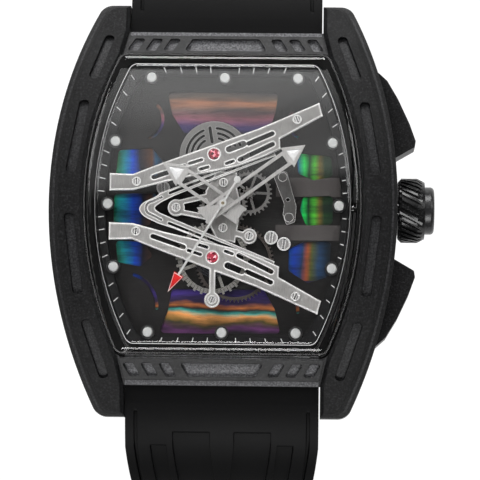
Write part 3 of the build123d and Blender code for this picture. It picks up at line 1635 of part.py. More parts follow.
def strap_strip(side, route, low, high, inner, outer, foot, head):
    """Thin solid that follows the strap's outer face between two heights."""
    reach = strap_side + strap_thickness + overrun
    with BuildPart() as strip:
        with BuildSketch(Plane.YZ):
            strap_band(side, route, low, high)
        extrude(amount=strap_width, both=True)
        with BuildSketch(Plane.XZ):
            strap_front(inner, outer, foot, head)
        extrude(amount=reach, both=True, mode=Mode.INTERSECT)
    return strip.part


def strap_half(side, route):
    """One half of the strap with its edge grooves and sunk panels."""
    top = case_back_height + case_top
    reach = strap_side + strap_thickness + overrun
    outer_face = strap_thickness / 2
    groove_in = strap_border + strap_groove_width
    panel_out = strap_width / 2 - strap_rib_half_width
    with BuildPart() as half:
        with BuildSketch(Plane.YZ):
            strap_band(side, route, -outer_face, outer_face)
        extrude(amount=strap_width, both=True)
        with BuildSketch(Plane.XZ):
            right = edge_line(0, 0, top)
            face_of(right + [(-x, z) for x, z in reversed(right)])
        extrude(amount=reach, both=True, mode=Mode.INTERSECT)
        add(
            strap_strip(
                side, route, outer_face - strap_groove_depth, outer_face + overrun, strap_border, groove_in,
                strap_relief_end, case_back_height + strap_start_height + strap_thickness / 4,
            ),
            mode=Mode.SUBTRACT,
        )
        add(
            strap_strip(
                side, route, outer_face - strap_panel_depth, outer_face + overrun,
                panel_out - strap_panel_width, panel_out, strap_relief_end,
                case_back_height + strap_start_height,
            ),
            mode=Mode.SUBTRACT,
        )
        outer_panel = panel_out - strap_panel_width - strap_panel_land
        add(
            strap_strip(
                side, route, outer_face - strap_panel_depth, outer_face + overrun,
                outer_panel - strap_outer_panel_width, outer_panel, strap_relief_end,
                case_back_height + strap_start_height - strap_thickness / 4,
            ),
            mode=Mode.SUBTRACT,
        )
        with BuildSketch(Plane.YZ):
            with Locations((side * strap_bar_place, case_back_height + strap_start_height)):
                Circle(strap_bar_radius + seat_gap)
        extrude(amount=strap_width, both=True, mode=Mode.SUBTRACT)
    return half.part


buckle_end = buckle_place - buckle_boss_radius
tang_hole_place = buckle_place - hole_length / 2 + 3 * tang_clearance
with BuildPart() as strap_12:
    add(strap_half(1, strap_route(short_mid, buckle_end)))
    with BuildSketch(Plane.YZ):
        with Locations((buckle_place, short_mid)):
            Circle(buckle_pin_radius + seat_gap)
    extrude(amount=strap_width, both=True, mode=Mode.SUBTRACT)
    with BuildSketch(Plane.XY):
        far = buckle_place + tang_ring_radius + 2 * tang_clearance
        with Locations((0, (buckle_end - overrun + far) / 2)):
            Rectangle(tang_width + 2 * tang_clearance, far - buckle_end + overrun)
    extrude(amount=short_high + overrun, mode=Mode.SUBTRACT)
save(strap_12, "strap_12")

with BuildPart() as strap_6:
    add(strap_half(-1, strap_route(tail_mid, -tail_tip)))
    fillet(edges().filter_by(Axis.Z).sort_by(Axis.Y)[-2:], tail_corner)
    with BuildSketch(Plane.XY):
        with Locations(*[(0, tang_hole_place + hole_spacing * step) for step in range(-1, 4)]):
            SlotOverall(hole_length, hole_width, rotation=90)
    extrude(amount=short_low, mode=Mode.SUBTRACT)
save(strap_6, "strap_6")


def keeper(place, length, gap):
    """Rectangular loop round both layers of the strap."""
    with BuildPart() as loop:
        with BuildSketch(Plane.XZ.offset(-place - length / 2)):
            inside_high = short_high + gap
            outside_high = inside_high + keeper_side_wall
            with Locations((0, outside_high / 2)):
                RectangleRounded(2 * (keeper_inside_half + keeper_side_wall), outside_high, keeper_round)
            with Locations((0, (keeper_wall + inside_high) / 2)):
                Rectangle(2 * keeper_inside_half, inside_high - keeper_wall, mode=Mode.SUBTRACT)
        extrude(amount=length)
    return loop


fixed_keeper = keeper(0, keeper_length, 0)
save(fixed_keeper, "fixed_keeper")
free_keeper = keeper(free_keeper_place, free_keeper_length, layer_gap)
save(free_keeper, "free_keeper")

# Spring bars of the strap and pin of the buckle
rail_inside = keeper_inside_half + buckle_rail_gap - strap_gap
rail_outside = rail_inside + buckle_rail_width
with BuildPart() as spring_bars:
    for end in (1, -1):
        with BuildSketch(Plane.YZ):
            with Locations((end * strap_bar_place, case_back_height + strap_start_height)):
                Circle(strap_bar_radius)
        extrude(amount=lug_gap_half + strap_bar_grip - seat_gap, both=True)
    with BuildSketch(Plane.YZ):
        with Locations((buckle_place, short_mid)):
            Circle(buckle_pin_radius)
    extrude(amount=rail_outside, both=True)
save(spring_bars, "spring_bars")

# Buckle: frame and tang
bar_far = buckle_place - buckle_reach
bar_near = bar_far + buckle_bar_length
with BuildPart() as buckle_frame:
    for side in (1, -1):
        rail_start = side * (rail_inside + rail_outside) / 2
        with BuildSketch(Plane.YZ.offset(rail_start)):
            with Locations((buckle_place, short_mid)):
                Circle(buckle_boss_radius)
            face_of(
                [
                    (buckle_place, short_mid + buckle_boss_radius),
                    (bar_near, 1.9 * buckle_bar_thickness),
                    (bar_far, buckle_bar_thickness),
                    (bar_far, 0),
                    (bar_near, 0),
                    (buckle_place, short_mid - buckle_boss_radius),
                ]
            )
        extrude(amount=buckle_rail_width / 2, both=True)
    with BuildSketch(Plane.YZ):
        with Locations(((bar_far + bar_near) / 2, buckle_bar_thickness / 2)):
            RectangleRounded(buckle_bar_length, buckle_bar_thickness, 0.2 * buckle_bar_thickness)
    extrude(amount=rail_outside, both=True)
    # Notch for the tang's tip
    notch_depth = tang_thickness + 2 * tang_clearance
    with BuildSketch(Plane.XY.offset(-overrun)):
        with Locations((0, bar_near)):
            Rectangle(tang_width + 2 * tang_clearance, 1.4 * buckle_bar_length)
    extrude(amount=notch_depth + overrun - tang_clearance / 2, mode=Mode.SUBTRACT)
    with BuildSketch(Plane.YZ):
        with Locations((buckle_place, short_mid)):
            Circle(buckle_pin_radius + running_gap)
    extrude(amount=rail_outside + overrun, both=True, mode=Mode.SUBTRACT)
save(buckle_frame, "buckle_frame")

with BuildPart() as tang:
    with BuildSketch(Plane.YZ):
        low = tang_clearance / 2
        high = low + tang_thickness
        with Locations((buckle_place, short_mid)):
            Circle(tang_ring_radius)
        bend = buckle_place - 2.75 * tang_ring_radius
        tip = bar_near - 0.5 * buckle_bar_length
        face_of(
            [
                (buckle_place, short_mid + tang_ring_radius * 0.5),
                (buckle_place - 1.6 * tang_ring_radius, short_mid - 0.2 * tang_ring_radius),
                (bend, high),
                (tip, high),
                (tip, low),
                (bend - 0.3 * tang_thickness + tang_thickness, low),
                (buckle_place - 1.1 * tang_ring_radius, short_mid - 1.2 * tang_ring_radius),
                (buckle_place, short_mid - tang_ring_radius),
            ]
        )
    extrude(amount=tang_width / 2, both=True)
    with BuildSketch(Plane.YZ):
        with Locations((buckle_place, short_mid)):
            Circle(buckle_pin_radius + running_gap)
    extrude(amount=tang_width, both=True, mode=Mode.SUBTRACT)
save(tang, "tang")
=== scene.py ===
"""Dresses the tonneau watch: finishes for its solids, printed and luminous details, and a plain studio."""
from math import cos, pi, radians, sin, sqrt

import bpy
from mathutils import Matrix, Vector


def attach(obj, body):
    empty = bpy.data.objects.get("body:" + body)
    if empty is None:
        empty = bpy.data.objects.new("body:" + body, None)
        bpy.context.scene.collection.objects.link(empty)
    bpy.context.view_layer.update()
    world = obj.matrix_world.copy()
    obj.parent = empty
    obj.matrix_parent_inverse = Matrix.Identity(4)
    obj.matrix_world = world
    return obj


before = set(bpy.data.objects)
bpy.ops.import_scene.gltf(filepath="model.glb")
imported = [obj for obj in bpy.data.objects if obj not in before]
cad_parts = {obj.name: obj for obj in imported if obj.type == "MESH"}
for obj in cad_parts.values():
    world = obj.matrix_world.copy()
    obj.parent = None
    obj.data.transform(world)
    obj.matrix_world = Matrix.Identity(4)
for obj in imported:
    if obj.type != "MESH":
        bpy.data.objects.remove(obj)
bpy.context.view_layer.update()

bl_info = {
    "name": "Tonneau Watch",
    "version": (1, 0, 0),
    "blender": (4, 5, 0),
    "location": "View3D > Sidebar > Watch",
    "description": "Finishes and small details of a tonneau watch",
    "category": "Object",
}

# Lengths are in metres, angles in radians; X is towards the crown and Y towards 12 o'clock
MM = 0.001
CASE_BACK = 54.5 * MM  # height of the case back over the floor

# Middles of the turned pieces
CENTRE = (0, 0)
BARREL_PLACE = (-1.21 * MM, 6.2 * MM)
BALANCE_PLACE = (-1.24 * MM, -6.5 * MM)
INDEX_RING_PLACE = (1.46 * MM, -6.92 * MM)

BRIDGE_SLOPE = radians(21)

# Rectangle between the bars of the end plates, where the case floor's painted sheen is strongest, and the
# bars beside 3 o'clock on the dial
BETWEEN_END_BARS = (-12 * MM, 12 * MM, -24 * MM, 24 * MM)
DIAL_BARS = [(6.4 * MM, 15.5 * MM, 1.3 * MM, 3.8 * MM), (6.4 * MM, 15.5 * MM, -4.1 * MM, -2.1 * MM)]
MASK_BORDER = 0.1 * MM

# Rainbow film: where each run of hues begins, and the runs as axis, start, end, warp and colour stops
FILM_TOP_EDGE = 9.0 * MM
FILM_LOW_EDGE = -9.0 * MM
FILM_RIGHT_STEP = -3.4 * MM
FILM_RUNS = {
    "top": ("Y", 9.0 * MM, 14.6 * MM, 1.2 * MM, [
        (0.0, (0.03, 0.03, 0.1)), (0.2, (0.06, 0.04, 0.16)), (0.4, (0.34, 0.12, 0.15)),
        (0.55, (0.14, 0.09, 0.08)), (0.7, (0.42, 0.17, 0.08)), (0.82, (0.14, 0.1, 0.07)),
        (1.0, (0.03, 0.03, 0.04)),
    ]),
    "low": ("Y", -9.4 * MM, -16.0 * MM, 3.4 * MM, [
        (0.0, (0.03, 0.02, 0.08)), (0.2, (0.07, 0.04, 0.26)), (0.34, (0.05, 0.03, 0.1)),
        (0.44, (0.9, 0.28, 0.06)), (0.5, (0.03, 0.03, 0.03)), (0.56, (0.08, 0.6, 0.5)),
        (0.64, (0.95, 0.4, 0.12)), (0.74, (0.12, 0.1, 0.02)), (0.86, (0.2, 0.06, 0.22)),
        (1.0, (0.02, 0.02, 0.02)),
    ]),
    "left": ("X", -14.2 * MM, -7.4 * MM, 3.0 * MM, [
        (0.0, (0.01, 0.03, 0.02)), (0.14, (0.02, 0.3, 0.1)), (0.28, (0.01, 0.36, 0.4)),
        (0.42, (0.01, 0.08, 0.65)), (0.56, (0.012, 0.015, 0.03)), (0.76, (0.12, 0.05, 0.02)),
        (0.86, (0.02, 0.1, 0.2)), (1.0, (0.015, 0.015, 0.02)),
    ]),
    "right": ("X", 8.4 * MM, 14.4 * MM, 1.4 * MM, [
        (0.0, (0.01, 0.03, 0.06)), (0.12, (0.02, 0.14, 0.3)), (0.26, (0.02, 0.75, 0.12)),
        (0.38, (0.01, 0.05, 0.02)), (0.5, (0.08, 0.5, 0.04)), (0.6, (0.2, 0.14, 0.03)),
        (0.7, (0.02, 0.06, 0.02)), (1.0, (0.01, 0.03, 0.02)),
    ]),
    "low_right": ("X", 7.8 * MM, 13.4 * MM, 3.0 * MM, [
        (0.0, (0.01, 0.1, 0.22)), (0.15, (0.01, 0.05, 0.4)), (0.35, (0.02, 0.05, 0.12)),
        (0.5, (0.35, 0.08, 0.03)), (0.62, (0.1, 0.12, 0.03)), (0.75, (0.02, 0.06, 0.14)),
        (1.0, (0.01, 0.02, 0.03)),
    ]),
}

# Plates on the hands: clock angle in degrees, then where each begins and ends from the axis
HOUR_PLATE = dict(
    clock=304, neck=6.25 * MM, reach=8.35 * MM, half_width=1.0 * MM, low=CASE_BACK + 8.95 * MM
)
MINUTE_PLATE = dict(
    clock=54, neck=9.95 * MM, reach=11.75 * MM, half_width=0.97 * MM, low=CASE_BACK + 9.35 * MM
)
SECONDS_TIP = dict(
    clock=211, neck=10.2 * MM, reach=12.85 * MM, half_width=0.66 * MM, low=CASE_BACK + 9.84 * MM
)
LUME_HEIGHT = 0.33 * MM
TIP_HEIGHT = 0.22 * MM
PLATE_EDGE = 0.02 * MM
TICK_EDGE = 0.015 * MM

# Studio
LAMP_AIM = (0, 0, 0.06)
LAMPS = {  # place, power in watts and side
    "over_left": ((-0.35, 0.25, 0.55), 1.3, 0.3),
    "over_right": ((0.4, 0.2, 0.45), 0.8, 0.25),
    "over_six": ((0.0, -0.36, 0.43), 1.3, 0.2),
    "over_twelve": ((0.0, 0.5, 0.39), 2.2, 0.25),
}
CARD_PLACE = (-0.02, 0.2, 0.567)
CARD_SCALE = (0.4, 0.34, 1)
CAMERA_LENS = 208
CAMERA_SENSOR = 36
CAMERA_NEAR = 0.01
CAMERA_DISTANCE = 0.34
CAMERA_TARGET = Vector((2.15 * MM, -4.45 * MM, 64 * MM))
TOWARD_RIGHT = radians(1.5)
TOWARD_SIX = radians(6.5)
CAMERA_ROLL = radians(0.74)


def length_size(name, description, default, **settings):
    return bpy.props.FloatProperty(
        name=name, description=description, default=default, unit="LENGTH", **settings
    )


def paint_colour(name, description, default):
    return bpy.props.FloatVectorProperty(
        name=name, description=description, subtype="COLOR", default=default, min=0, max=1
    )


class WatchSizes(bpy.types.PropertyGroup):
    """Sizes of the printed and luminous details."""

    tick_length: length_size("Tick length", "Length of a minute line", 0.75 * MM, precision=5)
    tick_width: length_size("Tick width", "Width of a minute line", 0.11 * MM, precision=5)
    tick_height: length_size("Tick height", "How far a minute line stands up", 0.05 * MM, precision=5)
    track_half_width: length_size("Track half width", "Half width of the minute track", 15.1 * MM)
    track_half_length: length_size("Track half length", "Half length of the minute track", 16.7 * MM)
    track_end: length_size("Track end half width", "Half width of the track at its ends", 10.9 * MM)
    flange_top: length_size("Flange top", "Height of the flange ring's top", CASE_BACK + 8.0 * MM)
    floor_size: length_size("Floor size", "Side of the studio floor", 4.0)


class WatchColours(bpy.types.PropertyGroup):
    """Colours of the finishes."""

    case: paint_colour("Case", "Coating of the case", (0.011, 0.011, 0.0115))
    plates: paint_colour("Plates", "Grained top plates", (0.009, 0.009, 0.0095))
    rubber: paint_colour("Rubber", "Strap", (0.003, 0.003, 0.0032))
    steel: paint_colour("Bridges", "Brushed bridges", (0.36, 0.352, 0.341))
    lume: paint_colour("Luminous paint", "Dots on the flange ring", (0.28, 0.284, 0.28))
    tip: paint_colour("Red tip", "Tip of the seconds hand", (0.4, 0.006, 0.006))
    jewel: paint_colour("Jewels", "Pink bearings", (0.2, 0.012, 0.026))


def sizes():
    return bpy.context.scene.watch_sizes


def colours():
    return bpy.context.scene.watch_colours


# Nodes


def finish(name, colour=(0.5, 0.5, 0.5), roughness=0.5, metallic=0.0):
    """New material with a Principled shader; returns material, shader and output."""
    material = bpy.data.materials.new(name)
    material.use_nodes = True
    shader = material.node_tree.nodes["Principled BSDF"]
    shader.inputs["Base Color"].default_value = (*colour[:3], 1)
    shader.inputs["Roughness"].default_value = roughness
    shader.inputs["Metallic"].default_value = metallic
    return material, shader, material.node_tree.nodes["Material Output"]


def node(material, kind, **values):
    """New node with its sockets or settings filled in."""
    made = material.node_tree.nodes.new(kind)
    for key, value in values.items():
        if key in made.inputs:
            made.inputs[key].default_value = value
        else:
            setattr(made, key, value)
    return made


def join(material, source, socket):
    material.node_tree.links.new(source, socket)


def place(material, scale=(1, 1, 1), turn=0.0, middle=CENTRE):
    """Object coordinates, moved to a middle, stretched and turned."""
    coords = node(material, "ShaderNodeTexCoord")
    mapping = node(material, "ShaderNodeMapping")
    mapping.inputs["Location"].default_value = (-middle[0], -middle[1], 0)
    mapping.inputs["Scale"].default_value = scale
    mapping.inputs["Rotation"].default_value = (0, 0, turn)
    join(material, coords.outputs["Object"], mapping.inputs["Vector"])
    return mapping.outputs["Vector"]


def axes(material, kind="Object"):
    """X, Y and Z of the object coordinates or of the surface's normal."""
    coords = node(material, "ShaderNodeTexCoord")
    parts = node(material, "ShaderNodeSeparateXYZ")
    join(material, coords.outputs[kind], parts.inputs["Vector"])
    return parts.outputs


def texture(material, kind, vector, **values):
    """New texture over a vector."""
    made = node(material, kind, **values)
    join(material, vector, made.inputs["Vector"])
    return made


def noise_texture(material, vector, **values):
    return texture(material, "ShaderNodeTexNoise", vector, **values).outputs["Fac"]


def combine(material, operation, *values, **settings):
    """Result of a piece of arithmetic on sockets and plain numbers."""
    made = node(material, "ShaderNodeMath", operation=operation, **settings)
    for value, slot in zip(values, made.inputs):
        if isinstance(value, (int, float)):
            slot.default_value = value
        else:
            join(material, value, slot)
    return made.outputs[0]


def spread(material, source, start, end, low=0.0, high=1.0, ease="LINEAR"):
    """A value stretched from one range over another."""
    made = node(material, "ShaderNodeMapRange", interpolation_type=ease)
    for name, value in (("From Min", start), ("From Max", end), ("To Min", low), ("To Max", high)):
        made.inputs[name].default_value = value
    join(material, source, made.inputs["Value"])
    return made.outputs["Result"]


def vary(material, source, socket, low, high):
    """Drive a socket between two values by a texture."""
    join(material, spread(material, source, 0.0, 1.0, low, high), socket)


def ramped(material, source, stops):
    """Colour ramp over a value."""
    ramp = node(material, "ShaderNodeValToRGB")
    while len(ramp.color_ramp.elements) < len(stops):
        ramp.color_ramp.elements.new(0.5)
    for element, (position, colour) in zip(ramp.color_ramp.elements, stops):
        element.position = position
        element.color = (*colour[:3], 1)
    join(material, source, ramp.inputs["Fac"])
    return ramp.outputs["Color"]


def mixed(material, amount, first, second):
    """Mix of two colours, each a socket or a plain colour."""
    mix = node(material, "ShaderNodeMix", data_type="RGBA")
    join(material, amount, mix.inputs["Factor"])
    for name, value in (("A", first), ("B", second)):
        slot = [entry for entry in mix.inputs if entry.name == name and entry.type == "RGBA"][0]
        if isinstance(value, tuple):
            slot.default_value = (*value[:3], 1)
        else:
            join(material, value, slot)
    return [entry for entry in mix.outputs if entry.type == "RGBA"][0]


def mix_shaders(material, amount, first, second, output):
    """Mix two shaders by an amount into the material's output."""
    mix = node(material, "ShaderNodeMixShader")
    for source, slot in zip((amount, first, second), mix.inputs):
        join(material, source, slot)
    join(material, mix.outputs["Shader"], output.inputs["Surface"])


def bump(material, shader, height, strength, distance, edge=0.0):
    """Relief from a texture, over edges softened by a small radius."""
    relief = node(material, "ShaderNodeBump", Strength=strength, Distance=distance)
    join(material, height, relief.inputs["Height"])
    if edge:
        soft = node(material, "ShaderNodeBevel", samples=4, Radius=edge)
        join(material, soft.outputs["Normal"], relief.inputs["Normal"])
    join(material, relief.outputs["Normal"], shader.inputs["Normal"])


def grain(material, shader, scale, strength, distance, edge=0.0):
    """Fine bump; returns its texture."""
    noise = noise_texture(material, place(material), Scale=scale, Detail=3, Roughness=0.6)
    bump(material, shader, noise, strength, distance, edge)
    return noise


def shade(colour, factor):
    return tuple(min(1.0, part * factor) for part in colour[:3])


def rim(material, width):
    """1 along a solid's edges and 0 on its faces, within a width; the mask for painted highlights on edges.
    """
    soft = node(material, "ShaderNodeBevel", samples=6, Radius=width)
    face = node(material, "ShaderNodeNewGeometry")
    match = node(material, "ShaderNodeVectorMath", operation="DOT_PRODUCT")
    join(material, soft.outputs["Normal"], match.inputs[0])
    join(material, face.outputs["Normal"], match.inputs[1])
    return spread(material, match.outputs["Value"], 0.995, 0.93, ease="SMOOTHSTEP")


def hollow(material, reach):
    """0 in narrow hollows and 1 on open faces; the mask for painted shade in hollows."""
    open_part = node(material, "ShaderNodeAmbientOcclusion", samples=6, Distance=reach)
    return spread(material, open_part.outputs["AO"], 0.55, 0.9, ease="SMOOTHSTEP")


def beyond(material, axis, limit):
    """1 where a coordinate is over a limit, else 0."""
    return combine(material, "GREATER_THAN", axes(material)[axis], limit)


def inside(material, x_low, x_high, y_low, y_high):
    """1 inside a rectangle of the dial, with a soft border."""
    parts = axes(material)
    masks = []
    for axis, low, high in (("X", x_low, x_high), ("Y", y_low, y_high)):
        off = combine(material, "SUBTRACT", parts[axis], (low + high) / 2)
        far = combine(material, "ABSOLUTE", off)
        half = (high - low) / 2
        masks.append(spread(material, far, half, half - MASK_BORDER, ease="SMOOTHSTEP"))
    return combine(material, "MULTIPLY", *masks)


# Finishes


def coated_metal(name, colour, grain_scale, strength, roughness, edge, sheen=0.14):
    """Dark coating over metal, with a fine grain and slightly worn variation."""
    material, shader, _ = finish(name, colour, roughness, 0.0)
    noise = grain(material, shader, grain_scale, strength, 0.00004, edge)
    blotch = noise_texture(material, place(material), Scale=160, Detail=4)
    vary(material, blotch, shader.inputs["Roughness"], roughness - 0.08, roughness + 0.1)
    tones = [(0.35, shade(colour, 0.4)), (0.55, colour), (0.68, shade(colour, 2.6))]
    join(material, ramped(material, noise, tones), shader.inputs["Base Color"])
    shader.inputs["Specular IOR Level"].default_value = sheen
    return material


def end_sheen(material, colour):
    """Grained slot floors made lighter by a painted sheen, most between the end plates' bars, with painted
    shade as dark lines round them.
    """
    base = material.node_tree.nodes["Principled BSDF"].inputs["Base Color"]
    speckle = noise_texture(material, place(material), Scale=4600, Detail=3, Roughness=0.7)
    upward_sheen = spread(material, axes(material, "Normal")["Z"], 0.8, 0.9)
    between = inside(material, *BETWEEN_END_BARS)
    tone = base.links[0].from_socket
    # Painted sheen: faces that look up get a fifth of the sheen colour, and the floor between the end plates'
    # bars gets all of it
    for mask, share in ((upward_sheen, 0.2), (between, 1.0)):
        hue = shade(colour, share)
        floor = ramped(material, speckle, [(0.38, shade(hue, 0.5)), (0.5, hue), (0.64, shade(hue, 1.9))])
        tone = mixed(material, mask, tone, floor)
    # Painted shade: near-black lines in the hollows round the slots, weaker between the end plates' bars
    corner_shade = hollow(material, 0.15 * MM)
    open_part = combine(material, "MULTIPLY_ADD", between, 0.75, corner_shade, use_clamp=True)
    join(material, mixed(material, open_part, (0.0005, 0.0005, 0.0005), tone), base)
    return material


def rubber(name, colour):
    """Matt rubber with a fine grain."""
    material, shader, _ = finish(name, colour, 0.5)
    noise = grain(material, shader, 5200, 0.25, 0.00003, edge=0.15 * MM)
    blotch = noise_texture(material, place(material), Scale=90, Detail=5)
    vary(material, blotch, shader.inputs["Roughness"], 0.42, 0.6)
    tones = [(0.3, shade(colour, 0.8)), (0.7, shade(colour, 1.35))]
    join(material, ramped(material, noise, tones), shader.inputs["Base Color"])
    shader.inputs["Specular IOR Level"].default_value = 0.09
    return material


def brushed(
    name, colour, turn, roughness=0.32, streak=(900, 60, 900), edge=0.05 * MM, highlight_width=0.0, reach=0.0
):
    """Metal brushed along one direction, where asked with painted highlights on its rims and painted shade in
    its hollows.
    """
    material, shader, _ = finish(name, colour, roughness, 1.0)
    noise = noise_texture(material, place(material, streak, turn), Scale=14, Detail=6, Roughness=0.7)
    vary(material, noise, shader.inputs["Roughness"], roughness - 0.1, roughness + 0.15)
    tone = ramped(material, noise, [(0.3, shade(colour, 0.78)), (0.7, shade(colour, 1.2))])
    if highlight_width:
        # Painted highlight: edges turn near white and barely metallic, so they look lit
        rim_highlight = rim(material, highlight_width)
        tone = mixed(material, rim_highlight, tone, (0.92, 0.91, 0.9))
        vary(material, rim_highlight, shader.inputs["Metallic"], 1.0, 0.2)
    if reach:
        # Painted shade: narrow hollows such as slots turn near black
        tone = mixed(material, hollow(material, reach), shade(colour, 0.03), tone)
    join(material, tone, shader.inputs["Base Color"])
    bump(material, shader, noise, 0.25, 0.00001, edge)
    return material


def circled(name, colour, middle, roughness=0.3, highlight_width=0.0):
    """Metal turned about a middle: rings of fine lines, painted shade in hollows and, where asked, painted
    highlights on the rims.
    """
    material, shader, _ = finish(name, colour, roughness, 1.0)
    rings = texture(
        material, "ShaderNodeTexWave", place(material, middle=middle),
        wave_type="RINGS", rings_direction="Z", Scale=2600, Distortion=2.5, Detail=3,
    ).outputs["Fac"]
    vary(material, rings, shader.inputs["Roughness"], roughness - 0.05, roughness + 0.08)
    bump(material, shader, rings, 0.12, 0.00001)
    tone = ramped(material, rings, [(0.2, shade(colour, 0.92)), (0.8, shade(colour, 1.06))])
    # Painted shade: hollows turn near black
    tone = mixed(material, hollow(material, 0.4 * MM), shade(colour, 0.08), tone)
    if highlight_width:
        # Painted highlight: rims 2.2 times lighter
        tone = mixed(material, rim(material, highlight_width), tone, shade(colour, 2.2))
    join(material, tone, shader.inputs["Base Color"])
    return material


def polished(name, colour, roughness=0.12):
    """Mirror-like metal with faint variation."""
    material, shader, _ = finish(name, colour, roughness, 1.0)
    noise = noise_texture(material, place(material), Scale=900, Detail=3)
    vary(material, noise, shader.inputs["Roughness"], roughness * 0.9, roughness * 1.15)
    return material


def clear_crystal():
    """Sapphire that bends light for the eye and lets the lamps' light through."""
    material, shader, output = finish("clear sapphire", (1, 1, 1), 0.0)
    shader.inputs["Transmission Weight"].default_value = 1.0
    through = node(material, "ShaderNodeBsdfTransparent")
    path = node(material, "ShaderNodeLightPath")
    shadow = path.outputs["Is Shadow Ray"]
    mix_shaders(material, shadow, shader.outputs["BSDF"], through.outputs["BSDF"], output)
    smear = noise_texture(material, place(material), Scale=60, Detail=2)
    vary(material, smear, shader.inputs["IOR"], 1.44, 1.46)
    return material


def film_run(material, axis, start, end, warp, stops):
    """Run of hues along one axis of the watch, bent by a slow noise."""
    stretch = (0.6, 1, 1) if axis == "Y" else (1, 0.3, 1)
    bend = noise_texture(material, place(material, stretch), Scale=260, Detail=3)
    shift = combine(material, "MULTIPLY_ADD", bend, warp, axes(material)[axis])
    return ramped(material, spread(material, shift, start + warp / 2, end + warp / 2), stops)


def rainbow_film():
    """Film with its own run of hues above, below, to the left and to the right, under dark streaks."""
    material, shader, _ = finish("rainbow film", (0.1, 0.2, 0.3), 0.3, 0.6)
    run = {name: film_run(material, *values) for name, values in FILM_RUNS.items()}
    right = mixed(material, beyond(material, "Y", FILM_RIGHT_STEP), run["low_right"], run["right"])
    sides = mixed(material, beyond(material, "X", 0), run["left"], right)
    upper = mixed(material, beyond(material, "Y", FILM_TOP_EDGE), sides, run["top"])
    whole = mixed(material, beyond(material, "Y", FILM_LOW_EDGE), run["low"], upper)
    streak = noise_texture(
        material, place(material, (0.4, 2.6, 1)), Scale=340, Detail=5, Roughness=0.65
    )
    faint = spread(material, streak, 0.38, 0.62, 0.7, 0.0)
    join(material, mixed(material, faint, whole, (0.012, 0.012, 0.018)), shader.inputs["Base Color"])
    return material


def smoked_dial():
    """Near-black translucent look with two lighter bars beside 3 o'clock."""
    material, shader, _ = finish("smoked dial", (0.007, 0.0065, 0.0065), 0.5)
    noise = noise_texture(material, place(material, (60, 900, 60), 0.35), Scale=9, Detail=4)
    vary(material, noise, shader.inputs["Roughness"], 0.4, 0.55)
    tone = ramped(material, noise, [(0.3, (0.005, 0.0046, 0.0046)), (0.7, (0.011, 0.0102, 0.01))])
    for bar_box in DIAL_BARS:
        tone = mixed(material, inside(material, *bar_box), tone, (0.045, 0.041, 0.04))
    join(material, tone, shader.inputs["Base Color"])
    shader.inputs["Specular IOR Level"].default_value = 0.12
    return material


def painted(name, colour, roughness=0.5, grain_scale=4000, sheen=0.5):
    """Paint with a fine grain."""
    material, shader, _ = finish(name, colour, roughness)
    shader.inputs["Specular IOR Level"].default_value = sheen
    noise = grain(material, shader, grain_scale, 0.2, 0.00002)
    tones = [(0.3, shade(colour, 0.9)), (0.7, shade(colour, 1.05))]
    join(material, ramped(material, noise, tones), shader.inputs["Base Color"])
    return material


def pink_jewel(colour):
    """Clear-coated stone with small facets painted lighter and darker pink as lit and shaded ones, the palest
    as glints.
    """
    material, shader, _ = finish("pink jewel", colour, 0.08)
    shader.inputs["Coat Weight"].default_value = 0.8
    shader.inputs["Specular IOR Level"].default_value = 0.9
    facet = texture(material, "ShaderNodeTexVoronoi", place(material), Scale=3600)
    cell = node(material, "ShaderNodeSeparateXYZ")
    join(material, facet.outputs["Color"], cell.inputs["Vector"])
    # Painted light: random facets darker and lighter, the palest near white as glints
    tones = [(0.15, shade(colour, 0.25)), (0.45, colour), (0.7, shade(colour, 1.5)), (0.92, (0.8, 0.4, 0.45))]
    join(material, ramped(material, cell.outputs["X"], tones), shader.inputs["Base Color"])
    bump(material, shader, facet.outputs["Distance"], 0.6, 0.00005)
    return material


def wear(names, material):
    """Give CAD nodes a finish."""
    for name in names:
        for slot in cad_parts[name].material_slots:
            slot.material = material


class WATCH_OT_case(bpy.types.Operator):
    """Coat the case, its plates, crown and pushers"""

    bl_idname = "watch.case"
    bl_label = "Case finishes"

    def execute(self, context):
        hue = colours()
        wear(["caseback"], coated_metal(
            "matte black back", hue.case, grain_scale=5200, strength=0.35, roughness=0.42, edge=0.12 * MM
        ))
        body = coated_metal(
            "matte black case", hue.case, grain_scale=3600, strength=0.6, roughness=0.42, edge=0.12 * MM
        )
        # The case floor seen through the slots gets a painted sheen up to 14 times the plates' colour, with
        # painted shade in its corners
        wear(["case_middle"], end_sheen(body, shade(hue.plates, 14)))
        wear(["side_plate_left", "side_plate_right"], coated_metal(
            "grained black plate", hue.plates, grain_scale=3800, strength=0.7, roughness=0.5, edge=0.1 * MM
        ))
        # The end plates take the grained plates' paint a little lighter, a painted sheen on them
        wear(["end_plate_top", "end_plate_bottom"], coated_metal(
            "sparkling black plate", shade(hue.plates, 1.1),
            grain_scale=3400, strength=1.0, roughness=0.45, edge=0.1 * MM, sheen=0.3,
        ))
        wear(["crown"], coated_metal(
            "dark crown", shade(hue.case, 0.8),
            grain_scale=5200, strength=0.2, roughness=0.24, edge=0.08 * MM, sheen=0.4,
        ))
        wear(["crown_cap"], coated_metal(
            "smooth crown cap", shade(hue.case, 2.0),
            grain_scale=5200, strength=0.15, roughness=0.28, edge=0.08 * MM, sheen=0.4,
        ))
        wear(["pusher_upper", "pusher_lower"], coated_metal(
            "black pusher", shade(hue.case, 0.9),
            grain_scale=5200, strength=0.3, roughness=0.4, edge=0.12 * MM,
        ))
        wear(["crystal", "back_crystal"], clear_crystal())
        wear(["gaskets"], rubber("gasket rubber", (0.01, 0.01, 0.01)))
        wear(["caseback_screws"], brushed("case back screws", (0.35, 0.35, 0.36), turn=0.4))
        return {"FINISHED"}


